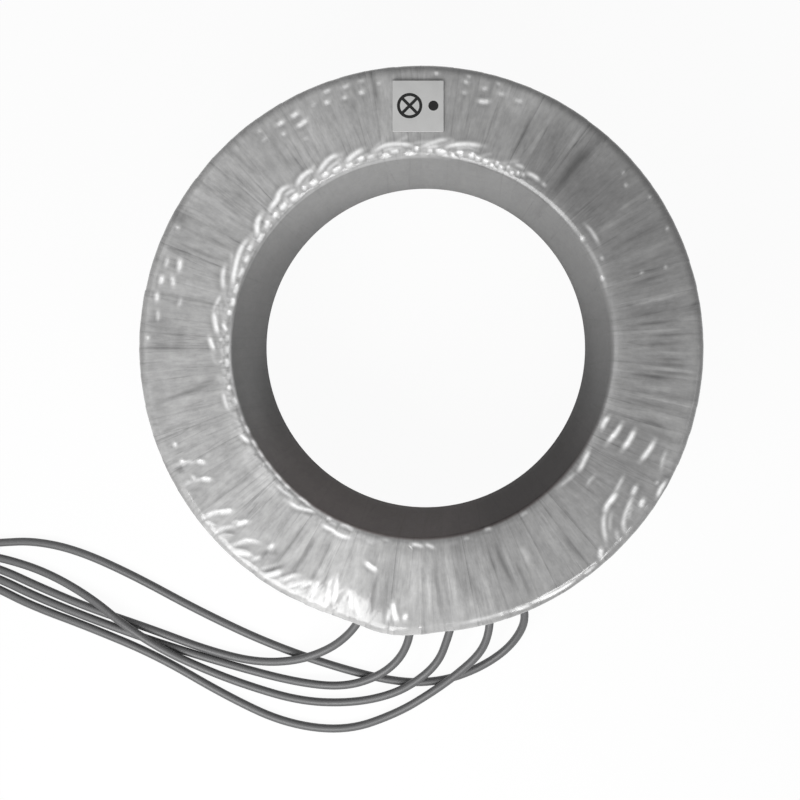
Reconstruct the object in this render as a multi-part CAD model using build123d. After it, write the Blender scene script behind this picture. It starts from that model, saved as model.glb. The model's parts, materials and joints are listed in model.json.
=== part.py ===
from build123d import *
from math import cos, degrees, radians, sin, sqrt, tan
import os

# A multi-ratio bushing current transformer. A ring core of silicon steel strip
# carries four secondary sections, and overlapping turns of film tape bind the lot.
# Five leads come out low on the -Y side and run over the floor towards -X.
# Frame: the bore's axis is +Z, and the origin is the centre of the bottom face.
# Lengths are millimetres, and angles are degrees from +X round +Z.

# The ring as a whole
bore_radius = 95.0
outer_radius = 143.0
height = 114.0
inner_corner = 10.0
outer_corner = 8.0
corner_to_chamfer = 2.0 - sqrt(2.0)   # the chamfer that touches a rounded corner
least_corner = 1.0       # the inner layers' corners are never sharper

# The outer tape wrap
wrap_thickness = 2.0
lap_count = 60
lap_rise = 0.35          # the thick edge of a turn stands this far over the next
lap_drift = 0.9          # hand-wound turns leave an even pitch by up to this angle,
drift_waves = (7, 17)    # in this many waves round the ring
base_relief = 0.1        # the thin edges stay this far off the floor
swell_angle, swell_height, swell_width = -84.0, 1.3, 92.0   # fuller over the tap joints
lump_angle, lump_height, lump_width = -96.0, 2.2, 24.0      # a folded end of tape

# Layers from the wrap inwards
packing_thickness = 6.0
packing_margin = 14.0    # the packing band ends this far from the two faces
section_thickness = 1.8
insulation_thickness = 0.4
core_wrap_thickness = 1.0
pressboard = 1.6

# The label on the top face
label_side = 25.4
label_thickness = 0.8
label_x, label_y = -1.5, 120.0

# The leads, and the ferrule and sleeve that each one comes out of
lead_diameter = 4.8
lead_length = 610.0
exit_height = 24.0
exit_angles = [-103.0, -93.0, -84.0, -76.0, -69.0]
clear_radius = 158.0     # the leads run straight out as far as this
bend_share = 0.45        # how much of the shorter run beside it a bend takes
ferrule_diameter, ferrule_length = 5.6, 4.5
sleeve_diameter, sleeve_gap, sleeve_reach = 7.0, 1.0, 9.0

# The coil of the leads' spare length. The leads lie in it side by side, and
# coil_order names them from the outermost turn to the innermost.
coil_x, coil_y = -331.0, -157.6
coil_inner_turn = 19.2
coil_pitch = 4.9
coil_order = [5, 3, 1, 2, 4]
coil_tail = 42.0         # the leads come in straight, side by side, over this length
coil_approach = 13.0     # each lead is already straight this far before the bundle
coil_height = 9.0
coil_slack = 0.1
tie_thickness, tie_width = 0.5, 5.0
tie_angles = [140.0, 235.0]
coil_level = tie_thickness + lead_diameter / 2

# Each lead's way over the floor, from outside the wrap to the coil. Leads 1 to 4
# cross over lead 5 in low humps, and lead 3 then crosses over leads 1 and 2.
routes = {
    1: [(-44, -168, 18), (-58, -180, 11), (-78, -187.5, 8.2), (-103, -189.5, 3.6),
        (-132, -181.4, 2.4), (-166, -169, 2.4), (-203, -157.2, 2.4), (-233, -144.6, 2.4),
        (-257, -133.4, 2.4)],
    2: [(-9.5, -172, 18.5), (-16, -186, 12), (-29, -197, 8.2), (-50, -203.5, 6.8),
        (-78, -202, 2.4), (-113, -193, 2.4), (-160, -178.8, 2.4), (-203, -163.3, 2.4),
        (-236, -150, 2.4), (-258.5, -139, 2.4)],
    3: [(14.5, -171, 19), (10, -186, 12.5), (-3, -198, 8.4), (-20, -208, 6.8),
        (-45, -214.5, 2.4), (-76, -213.5, 2.4), (-111, -203, 2.4), (-137, -192, 4.2),
        (-158, -180.5, 8.4), (-180, -166, 9.2), (-202, -150, 4.8), (-229, -135.5, 2.4),
        (-255, -127, 2.4)],
    4: [(39, -170, 19), (34.5, -183, 13), (23, -195, 8.4), (7, -206, 6.4),
        (-15, -220, 2.4), (-47, -230.5, 2.4), (-85, -225, 2.4), (-121, -207.5, 2.4),
        (-162, -186, 2.4), (-203, -168.8, 2.4), (-238, -155.8, 2.4), (-260, -144.6, 2.4)],
    5: [(61.5, -162, 19), (59.5, -174, 11.5), (50.5, -185, 4.8), (33, -194.5, 2.4),
        (11, -201, 2.4), (-14, -202.5, 2.4), (-49, -194.5, 2.4), (-93, -179, 2.4),
        (-136, -158, 2.4), (-178, -136, 2.4), (-211, -122, 2.4), (-237, -116.5, 2.4),
        (-258, -117.6, 2.4)],
}

os.makedirs("parts", exist_ok=True)


def write(part, name):
    part.label = name
    export_step(part, f"parts/{name}.step")


def outwards(angle):
    return Vector(cos(radians(angle)), sin(radians(angle)), 0)


def upright_plane(angle, centre=(0, 0, 0)):
    """The plane through an upright axis at an angle: local x points outwards, local y up."""
    direction = outwards(angle)
    return Plane(origin=centre, x_dir=direction, z_dir=direction.cross(Vector(0, 0, 1)))


def ring(*corners):
    """A ring about the bore's axis, from the corners of its section as (radius, z)."""
    return revolve(upright_plane(0) * make_face(Polyline(*corners, close=True)), Axis.Z)


def square_ring(left, right, low, high):
    return ring((left, low), (right, low), (right, high), (left, high))


def radial_rod(angle, start, end, diameter):
    """A round rod that points outwards at the height of the lead exits."""
    direction = outwards(angle)
    foot = direction * start + Vector(0, 0, exit_height)
    section = Plane(origin=foot, z_dir=direction) * Circle(diameter / 2)
    return extrude(section, amount=end - start)


# The outer tape wrap. Each turn is a wedge that grows by lap_rise from its thin edge
# to its thick one, so the turns overlap like saw teeth on the faces and the outer
# wall. The bore is pressed smooth, and the floor face is flat between the laps.
def bump(angle, centre, width):
    """A smooth hill of height 1 at the centre, which is level from half its width on."""
    offset = (angle - centre + 180) % 360 - 180
    return cos(radians(180 * offset / width)) ** 2 if abs(offset) < width / 2 else 0.0


def lap_angle(index):
    """Where a turn starts. The drift has whole waves, so the last turn meets the first."""
    even = 360 * index / lap_count
    waves = [sin(radians(count * even)) for count in drift_waves]
    return even + lap_drift * sum(waves) / len(waves)


def lap_section(angle, rise):
    fullness = swell_height * bump(angle, swell_angle, swell_width)
    fullness += lump_height * bump(angle, lump_angle, lump_width)
    left, right = bore_radius - lap_rise, outer_radius + rise + fullness
    low, high = base_relief - rise, height + rise
    outline = FilletPolyline(
        (left, low), (right, low), (right, high), (left, high),
        radius=[inner_corner, outer_corner, outer_corner, inner_corner], close=True)
    return upright_plane(angle) * make_face(outline)


def lap(index):
    thin_edge = lap_section(lap_angle(index), 0)
    thick_edge = lap_section(lap_angle(index + 1), lap_rise)
    return loft([thin_edge, thick_edge], ruled=True)


def outer_tape_wrap(cavity, exits):
    laps = [lap(index) for index in range(lap_count)]
    body = laps[0].fuse(*laps[1:])
    bore = Cylinder(bore_radius, 3 * height)
    under_floor = Cylinder(2 * outer_radius, height, align=(Align.CENTER, Align.CENTER, Align.MAX))
    return body - [cavity, bore, under_floor, *exits]


# The layers under the wrap follow one outline at growing depths. The corners are
# chamfered where the wrap is rounded, and the packing takes its room at the outer wall.
def layer(depth, packing=0.0):
    left, right = bore_radius + depth, outer_radius - depth - packing
    low, high = depth, height - depth
    inner_cut = max(inner_corner - depth, least_corner) * corner_to_chamfer
    outer_cut = max(outer_corner - depth - packing, least_corner) * corner_to_chamfer
    return ring(
        (left + inner_cut, low), (right - outer_cut, low), (right, low + outer_cut),
        (right, high - outer_cut), (right - outer_cut, high), (left + inner_cut, high),
        (left, high - inner_cut), (left, low + inner_cut))


def shell(depth, thickness):
    return layer(depth, packing_thickness) - layer(depth + thickness, packing_thickness)


# The leads' tubes are straight runs joined by the largest arcs that the runs allow.
def coil_turn(number):
    """The radius of a lead's turn in the coil."""
    place = len(coil_order) - 1 - coil_order.index(number)
    return coil_inner_turn + coil_pitch * place


def lead_points(number):
    direction = outwards(exit_angles[number - 1])
    start = direction * (packing_inner + ferrule_length) + Vector(0, 0, exit_height)
    clear = direction * clear_radius + Vector(0, 0, exit_height)
    end = Vector(coil_x + coil_tail, coil_y + coil_turn(number), coil_level)
    level = end + Vector(coil_approach, 0, 0)
    return [start, clear, *[Vector(*point) for point in routes[number]], level, end]


def bend_radii(points):
    radii = []
    for before, corner, after in zip(points, points[1:], points[2:]):
        first, second = corner - before, after - corner
        half_turn = radians(first.get_angle(second)) / 2
        radii.append(bend_share * min(first.length, second.length) / tan(half_turn))
    return radii


def lead_tube(number):
    points = lead_points(number)
    radii = bend_radii(points)
    path = FilletPolyline(*points, radius=radii)
    section = Plane(origin=points[0], z_dir=points[1] - points[0]) * Circle(lead_diameter / 2)
    tube = sweep(section, path=path)
    spare = lead_length - path.length - coil_tail
    print(f"lead {number}: {path.length:.0f} mm to the coil, {spare:.0f} mm in its turns,",
          f"volume over section times length {tube.volume / (section.area * path.length):.4f},",
          "bend radii", " ".join(f"{radius:.0f}" for radius in radii))
    return tube


# The coil: a low ring with its upper turns set in, and the straight bundle of leads
# that runs into its +Y side. It rests on the two ties round it.
coil_inner = coil_inner_turn - lead_diameter / 2 - coil_slack
coil_outer = coil_turn(coil_order[0]) + lead_diameter / 2 + coil_slack
coil_centre = (coil_x, coil_y, 0)
coil_axis = Axis(coil_centre, (0, 0, 1))


def coil_section():
    low, high = tie_thickness, tie_thickness + coil_height
    upper_left, upper_right = coil_inner + lead_diameter / 2, coil_outer - 1.5 * lead_diameter
    return make_face(Polyline(
        (coil_inner, low), (coil_outer, low), (coil_outer, high - lead_diameter),
        (upper_right, high), (upper_left, high), (coil_inner, high - 0.75 * lead_diameter),
        close=True))


def lead_coil():
    turns = revolve(upright_plane(0, coil_centre) * coil_section(), coil_axis)
    bundle = Pos(coil_x, coil_y + coil_inner, tie_thickness) * Box(
        coil_tail, coil_outer - coil_inner, lead_diameter,
        align=(Align.MIN, Align.MIN, Align.MIN))
    return turns + bundle


def coil_tie(angle):
    coil = coil_section()
    band = offset(coil, amount=tie_thickness, kind=Kind.INTERSECTION) - coil
    spread = degrees(tie_width / coil_turn(coil_order[2]))
    start = upright_plane(angle - spread / 2, coil_centre)
    return revolve(start * band, coil_axis, revolution_arc=spread)


# The wrap, and the packing band under it, with holes for the five sleeves
packing_outer = outer_radius - wrap_thickness
packing_inner = packing_outer - packing_thickness
sleeve_end = outer_radius + sleeve_reach
exits = [radial_rod(angle, packing_inner, sleeve_end, sleeve_diameter) for angle in exit_angles]
write(outer_tape_wrap(layer(wrap_thickness), exits), "outer_tape_wrap")
packing = square_ring(packing_inner, packing_outer, packing_margin, height - packing_margin)
write(packing - exits, "packing_band")

label_seat = Pos(label_x, label_y, height + lap_rise)
label = Box(label_side, label_side, label_thickness,
            align=(Align.CENTER, Align.CENTER, Align.MIN))
write(label_seat * label, "polarity_label")

# The winding: section 4 is the outermost, with insulation between each two sections
depth = wrap_thickness
for number in (4, 3, 2, 1):
    write(shell(depth, section_thickness), f"winding_section_{number}")
    depth += section_thickness
    if number > 1:
        write(shell(depth, insulation_thickness), f"section_insulation_{number - 1}")
        depth += insulation_thickness

# The core in its pressboard, and the tape round them
left = bore_radius + depth + core_wrap_thickness
right = outer_radius - packing_thickness - depth - core_wrap_thickness
low = depth + core_wrap_thickness
high = height - low
write(layer(depth, packing_thickness) - square_ring(left, right, low, high), "core_wrap")
write(square_ring(left, right, high - pressboard, high), "core_edge_ring_top")
write(square_ring(left, right, low, low + pressboard), "core_edge_ring_bottom")
low, high = low + pressboard, high - pressboard
write(square_ring(left, left + pressboard, low, high), "core_inner_collar")
write(square_ring(right - pressboard, right, low, high), "core_outer_collar")
write(square_ring(left + pressboard, right - pressboard, low, high), "core")

# The leads, each with the ferrule it starts at and the sleeve it comes out through
for number, angle in enumerate(exit_angles, 1):
    ferrule_end = packing_inner + ferrule_length
    ferrule = radial_rod(angle, packing_inner, ferrule_end, ferrule_diameter)
    write(ferrule, f"tap_ferrule_{number}")
    sleeve = radial_rod(angle, packing_inner + sleeve_gap, sleeve_end, sleeve_diameter)
    sleeve -= radial_rod(angle, packing_inner, clear_radius, ferrule_diameter)
    write(sleeve, f"lead_sleeve_{number}")
    write(lead_tube(number), f"lead_{number}")

write(lead_coil(), "lead_coil")
for number, angle in enumerate(tie_angles, 1):
    write(coil_tie(angle), f"coil_tie_{number}")
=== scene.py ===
import json
import math
import bmesh
import bpy
import numpy as np
from mathutils import Matrix, Vector


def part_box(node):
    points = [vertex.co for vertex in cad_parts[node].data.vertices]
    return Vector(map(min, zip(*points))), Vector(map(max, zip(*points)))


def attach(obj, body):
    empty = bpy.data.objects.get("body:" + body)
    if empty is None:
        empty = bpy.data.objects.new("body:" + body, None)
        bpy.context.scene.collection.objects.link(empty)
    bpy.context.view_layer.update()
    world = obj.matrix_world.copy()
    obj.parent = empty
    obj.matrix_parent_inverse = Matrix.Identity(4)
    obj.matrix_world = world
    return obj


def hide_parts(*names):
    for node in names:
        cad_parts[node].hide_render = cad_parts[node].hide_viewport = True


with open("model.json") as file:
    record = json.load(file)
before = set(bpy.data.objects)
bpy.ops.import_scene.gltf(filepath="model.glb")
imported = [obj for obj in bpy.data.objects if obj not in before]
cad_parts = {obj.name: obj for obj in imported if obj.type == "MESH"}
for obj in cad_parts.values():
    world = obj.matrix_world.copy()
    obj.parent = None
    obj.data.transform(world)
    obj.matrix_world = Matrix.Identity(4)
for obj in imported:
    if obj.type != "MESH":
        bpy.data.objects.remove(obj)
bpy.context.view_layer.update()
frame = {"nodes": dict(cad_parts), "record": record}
scene = bpy.context.scene
mm = 0.001                     # lengths written as 3 * mm are metres when used
fullTurn = 2 * math.pi
print("frame loaded:", len(frame["nodes"]), "nodes")

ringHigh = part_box("outer_tape_wrap")[1]        # its x is the outer radius, its z the height
boreRadius = next(m for m in frame["record"]["mounts"] if m["name"] == "bore")["dims"]["r_mm"] * mm


def outwards(angle, radius, z=0.0):        # a point round the bore, from an angle in degrees
    turned = math.radians(angle)
    return Vector((radius * math.cos(turned), radius * math.sin(turned), z))


def addObject(name, data):
    made = bpy.data.objects.new(name, data)
    scene.collection.objects.link(made)
    return made


def addCurve(name, dimensions="3D"):
    curve = bpy.data.curves.new(name, "CURVE")
    curve.dimensions = dimensions
    return curve


def addSpline(curve, kind, points, closed=False):
    spline = curve.splines.new(kind)
    spline.points.add(len(points) - 1)
    for place, point in zip(spline.points, points):
        place.co = (*point, 1)
    spline.use_cyclic_u = closed
    return spline


# Camera: straight above the ring, a little off its axis, with the label at the top
cameraSet = {
    "place": (0.01385, -0.00091, 0.636),
    "lens": 47.19,
    "sensor": 36.0,
    "shift": (-0.06125, -0.0631),
    "clip": (0.01, 20.0),
}


def makeCamera():
    data = bpy.data.cameras.new("camera")
    data.lens = cameraSet["lens"]
    data.sensor_width = cameraSet["sensor"]
    data.shift_x, data.shift_y = cameraSet["shift"]
    data.clip_start, data.clip_end = cameraSet["clip"]
    scene.camera = addObject("camera", data)
    scene.camera.location = cameraSet["place"]


# A node tree is written as arithmetic: each Field is a node's output that can be added,
# multiplied and so on, and each step makes one more node in the same tree.
class Field:
    def __init__(self, socket):
        self.socket, self.tree = socket, socket.id_data

    def node(self, kind, inputs, output=0, **settings):
        return Field(addNode(self.tree, kind, inputs, **settings).outputs[output])

    def op(self, kind, *others):
        return self.node("ShaderNodeMath", dict(enumerate((self, *others))), operation=kind)

    def vectorOp(self, kind, key, other):
        return self.node("ShaderNodeVectorMath", {0: self, key: other}, operation=kind)

    def clamped(self):
        return self.op("MAXIMUM", 0.0).op("MINIMUM", 1.0)

    def __add__(self, other):
        return self.op("ADD", other)

    def __sub__(self, other):
        return self.op("SUBTRACT", other)

    def __mul__(self, other):
        return self.op("MULTIPLY", other)

    def __truediv__(self, other):
        return self.op("DIVIDE", other)

    def __rsub__(self, other):
        return (self * -1.0) + other

    def __rtruediv__(self, other):
        return self.op("POWER", -1.0) * other

    __radd__ = __add__
    __rmul__ = __mul__


def feed(value, socket):                           # links a Field or a socket, or sets a plain value
    if isinstance(value, Field):
        value = value.socket
    if isinstance(value, bpy.types.NodeSocket):
        socket.id_data.links.new(value, socket)
    else:
        socket.default_value = value


def addNode(tree, kind, inputs=None, **settings):
    node = tree.nodes.new(kind)
    for name, value in settings.items():
        setattr(node, name, value)
    for key, value in (inputs or {}).items():
        feed(value, node.inputs[key])
    return node


def addField(tree, kind, output=0, **settings):    # the output of a node that takes nothing
    return Field(addNode(tree, kind, **settings).outputs[output])


def splitVector(vector):
    parts = addNode(vector.tree, "ShaderNodeSeparateXYZ", {0: vector})
    return [Field(socket) for socket in parts.outputs]


def joinVector(x, y, z):
    return x.node("ShaderNodeCombineXYZ", {0: x, 1: y, 2: z})


def noise(vector, scale, detail=2.0, rough=0.5):   # -0.5 to 0.5
    return vector.node("ShaderNodeTexNoise", {
        "Vector": vector, "Scale": scale, "Detail": detail, "Roughness": rough}) - 0.5


def chance(number):                                # 0 to 1, fixed for each whole number
    return number.node("ShaderNodeTexWhiteNoise", {"W": number}, "Value", noise_dimensions="1D")


def smooth(value, low, high):                      # 0 below low, 1 above high
    return value.node("ShaderNodeMapRange", {"Value": value, "From Min": low, "From Max": high},
                      interpolation_type="SMOOTHSTEP")


def groupInterface(tree, inputs, outputs):         # the inputs by name, and the node that takes the outputs
    for name, (kind, value) in inputs.items():
        socket = tree.interface.new_socket(name, in_out="INPUT", socket_type="NodeSocket" + kind)
        if value is not None:
            socket.default_value = value
    for name in outputs:
        kind = "Geometry" if name == "Geometry" else "Float"
        tree.interface.new_socket(name, in_out="OUTPUT", socket_type="NodeSocket" + kind)
    inlet = tree.nodes.new("NodeGroupInput")
    given = {socket.name: Field(socket) for socket in inlet.outputs if socket.name}
    return given, tree.nodes.new("NodeGroupOutput")


def useGroup(tree, group, inputs):                 # the group's outputs by name
    node = addNode(tree, "ShaderNodeGroup", inputs, node_tree=group)
    return {socket.name: Field(socket) for socket in node.outputs}


# The leads. Each one starts at its ferrule inside the ring, comes out level, crosses the
# floor by its route, and puts the rest of its length away in a flat coil of five leads.
leadSet = {
    "diameter": 4.8 * mm,
    "length": 0.610,
    "startRadius": 0.1395,
    "clearRadius": 0.158,
    "routes": {
        1: [(-0.044, -0.168, 0.018), (-0.058, -0.18, 0.011), (-0.078, -0.1875, 0.0082),
            (-0.103, -0.1895, 0.0036), (-0.132, -0.1826, 0.0024), (-0.166, -0.1698, 0.0024),
            (-0.203, -0.1572, 0.0024), (-0.233, -0.1446, 0.0024), (-0.257, -0.1334, 0.0024)],
        2: [(-0.0095, -0.172, 0.0185), (-0.016, -0.186, 0.012), (-0.029, -0.197, 0.0082),
            (-0.05, -0.2035, 0.0068), (-0.078, -0.202, 0.0024), (-0.113, -0.193, 0.0024),
            (-0.16, -0.1788, 0.0024), (-0.203, -0.1633, 0.0024), (-0.236, -0.15, 0.0024),
            (-0.2585, -0.139, 0.0024)],
        3: [(0.0130, -0.171, 0.019), (0.008, -0.186, 0.0125), (-0.003, -0.198, 0.0084),
            (-0.02, -0.208, 0.0068), (-0.045, -0.2145, 0.0024), (-0.076, -0.2135, 0.0024),
            (-0.111, -0.203, 0.0024), (-0.137, -0.192, 0.0042), (-0.158, -0.1805, 0.0084),
            (-0.18, -0.166, 0.0092), (-0.202, -0.15, 0.0048), (-0.229, -0.1355, 0.0024),
            (-0.255, -0.127, 0.0024)],
        4: [(0.037, -0.17, 0.019), (0.0315, -0.1825, 0.013), (0.019, -0.195, 0.0084),
            (0.004, -0.2065, 0.0064), (-0.017, -0.2205, 0.0024), (-0.048, -0.2315, 0.0024),
            (-0.085, -0.227, 0.0024), (-0.121, -0.21, 0.0024), (-0.162, -0.186, 0.0024),
            (-0.203, -0.1688, 0.0024), (-0.238, -0.1558, 0.0024), (-0.26, -0.1446, 0.0024)],
        5: [(0.059, -0.16, 0.019), (0.0545, -0.1725, 0.0115), (0.0455, -0.184, 0.0052),
            (0.0305, -0.194, 0.0024), (0.011, -0.201, 0.0024), (-0.014, -0.2025, 0.0024),
            (-0.049, -0.1945, 0.0024), (-0.093, -0.1796, 0.0024), (-0.136, -0.1595, 0.0024),
            (-0.178, -0.1367, 0.0024), (-0.211, -0.122, 0.0024), (-0.237, -0.1165, 0.0024),
            (-0.258, -0.1176, 0.0024)],
    },
    "coilTurns": {5: 38.8 * mm, 3: 33.9 * mm, 1: 29.0 * mm, 2: 24.1 * mm, 4: 19.2 * mm},
    "spare": {1: 0.258, 2: 0.214, 3: 0.184, 4: 0.148, 5: 0.145},     # the length in each one's turns
    "approach": 13.0 * mm,         # straight before the bundle
    "tangentShares": (0.35, 0.85),  # where it is held on its way to its first turn
    "coilLevel": 2.9 * mm,
    "upperLevel": 7.06 * mm,       # a second turn lies in the groove between two first turns
    "crossLevel": 7.8 * mm,        # and passes over the bundle that comes in
    "upperShift": 2.45 * mm,
    "climb": (235, 50),            # where a second turn climbs over, in degrees, and how long that takes
    "shift": (275, 45),            # its step outwards
    "settle": (350, 40),           # its way down into the groove
    "pointsPerTurn": 16,
    "sides": 5,                    # bevel steps of the round section
    "splineSteps": 8,
}


def coilPoints(number, centre):
    radius, left = leadSet["coilTurns"][number], leadSet["spare"][number]
    low, over, upper = (leadSet[name] for name in ("coilLevel", "crossLevel", "upperLevel"))
    step = fullTurn / leadSet["pointsPerTurn"]
    hold = math.cos(step / 2)              # the spline runs this far inside its control points
    points, turned = [], 0.0
    while left > 0:
        turned += step
        climb, shift, settle = (
            min(1.0, max(0.0, (turned - math.radians(start)) / math.radians(length)))
            for start, length in (leadSet["climb"], leadSet["shift"], leadSet["settle"]))
        level = low + climb * (over - low)
        level -= settle * (over - upper)
        reach = (radius + shift * leadSet["upperShift"]) / hold
        angle = math.pi / 2 + turned
        points.append(centre + Vector((reach * math.cos(angle), reach * math.sin(angle), level)))
        left -= step * radius
    return points


def makeLeads(finish):
    coilLow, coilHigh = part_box("lead_coil")
    halfCoil = (coilHigh.y - coilLow.y) / 2
    centre = Vector((coilLow.x + halfCoil, coilLow.y + halfCoil, 0))
    for number, route in leadSet["routes"].items():
        low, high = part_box(f"lead_sleeve_{number}")
        exitPoint = (low + high) / 2
        heading = math.degrees(math.atan2(exitPoint.y, exitPoint.x))
        bundleEnd = Vector((coilHigh.x, centre.y + leadSet["coilTurns"][number], leadSet["coilLevel"]))
        tangent = Vector((centre.x, bundleEnd.y, bundleEnd.z))
        points = [
            outwards(heading, leadSet["startRadius"], exitPoint.z),
            outwards(heading, leadSet["clearRadius"], exitPoint.z),
            *[Vector(point) for point in route],
            bundleEnd + Vector((leadSet["approach"], 0, 0)),
            *[bundleEnd.lerp(tangent, share) for share in leadSet["tangentShares"]],
            *coilPoints(number, centre),
        ]
        data = addCurve(f"lead_{number}_cord")
        data.bevel_depth = leadSet["diameter"] / 2
        data.bevel_resolution = leadSet["sides"]
        data.resolution_u = leadSet["splineSteps"]
        data.use_fill_caps = True
        data.materials.append(finish)
        spline = addSpline(data, "NURBS", points)
        spline.order_u = 3
        spline.use_endpoint_u = True
        lead = addObject(data.name, data)
        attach(lead, "root")
        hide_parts(f"lead_{number}", "lead_coil")


# The outer tape wrap. Its section is swept round the bore, then every lap of tape rises from
# its thin edge to its thick one, and the film gathers where it turns into the bore.
wrapSet = {
    "columns": 960,
    "base": 0.1 * mm,              # the thin edges stay this far off the floor
    "innerCorner": (12 * mm, 5 * mm),      # how far a corner's rounding reaches: across, down
    "outerCorner": (5.5 * mm, 5 * mm),
    "floorCorner": (10 * mm, 10 * mm),
    "crown": 1.5 * mm,             # how far the outer wall stands out at its middle
    "rows": {"innerCorner": 32, "face": 33, "outerCorner": 16, "outerWall": 9,
             "floorCorner": 4, "floor": 1, "boreWall": 5},
    "laps": 60,
    "lapDrift": 0.9,               # degrees
    "lapRise": 0.28 * mm,
    "swell": (-84.0, 1.3 * mm, 92.0),      # fuller over the joints: angle, height, width
    "lump": (-96.0, 2.2 * mm, 24.0),
    "droop": (-108.0, 2.3 * mm, 34.0),     # where the slack film slopes off the face
    "pleats": [(30.0, 12.0, 0.0, 1.0), (75.0, 18.0, 5.0, 0.5)],    # how fine round and across, shift, share
    "pleatDepth": 0.26 * mm,
    "waveDepth": 0.6 * mm,
    "waves": 75.0,                 # for each metre
    "slackDepth": 1.9 * mm,        # of the slanted pleats there
    "slackPleats": 52.0,           # how many a radian has
    "slackLean": 3.5,              # radians round for each metre outwards
    "gatherHeight": 0.60 * mm,
    "ropeHeight": 0.60 * mm,
    "gatherPaleness": 0.05,                 # how much paler the film is painted all through the gathers, with their whitened creases and painted glints
    # rows of folds: how many per lap, shift, length in steps, where they start and how far they
    # reach away from the bore's edge in mm, half width in mm, strength
    "gathers": {
        "crescents": [(0.9, 0.00, 0.95, 3.2, 5.0, 1.10, 0.9), (1.1, 0.52, 0.80, 2.8, 3.0, 1.00, 0.80)],
        "rope": [(2.6, 0.00, 1.05, 1.9, 1.0, 1.50, 1.00), (3.1, 0.50, 0.90, 3.0, 0.9, 1.00, 0.75),
                 (1.6, 0.30, 1.10, -1.2, 0.8, 0.80, 0.60)],
    },
    # how much the film gathers in crescents, and in the rope on the bore's edge, by angle
    "crescents": [(-180, 0.2), (-150, 0.1), (-112, 0.15), (-98, 0.0), (-60, 0.0), (20, 0.0), (50, 0.05),
                  (62, 0.2), (75, 0.3), (155, 0.3), (180, 0.2)],
    "rope": [(-180, 0.35), (-150, 0.3), (-112, 0.3), (-98, 0.1), (-60, 0.05), (-30, 0.05),
             (0, 0.04), (40, 0.02), (52, 0.04), (62, 0.2), (75, 0.32), (150, 0.34), (180, 0.35)],
    "seed": 7,
    # the tape's tone by angle, partly its own and partly painted light and shade
    "toneAndPaintedLight": [(-180, 0.96), (-165, 0.98), (-142, 1.03), (-127, 1.0), (-113, 1.12), (-98, 1.0),
             (-82, 0.86), (-67, 0.68), (-52, 0.76), (-37, 0.74), (-22, 0.78), (-7, 0.745), (8, 0.70),
             (22, 0.645), (37, 0.625), (52, 0.63), (60, 0.78), (67, 0.97), (82, 1.05), (97, 1.21),
             (112, 1.34), (127, 1.19), (142, 1.13), (157, 1.04), (172, 0.98), (180, 0.96)],
    # painted light and shade on the bore's wall, by angle
    "borePaintedShading": [(-180, 1.3), (-150, 1.15), (-120, 1.03), (-98, 0.83), (-82, 0.68), (-67, 0.33), (-52, 0.27),
                 (-37, 0.27), (-22, 0.48), (-7, 0.66), (8, 0.77), (22, 0.92), (37, 0.98), (52, 1.05),
                 (82, 1.15), (112, 1.32), (127, 1.4), (157, 1.38), (180, 1.3)],
    "boreShadow": (135, 0.25, 0.6),        # the dark line at the bore's edge: its middle, depth, width in mm
}
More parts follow.
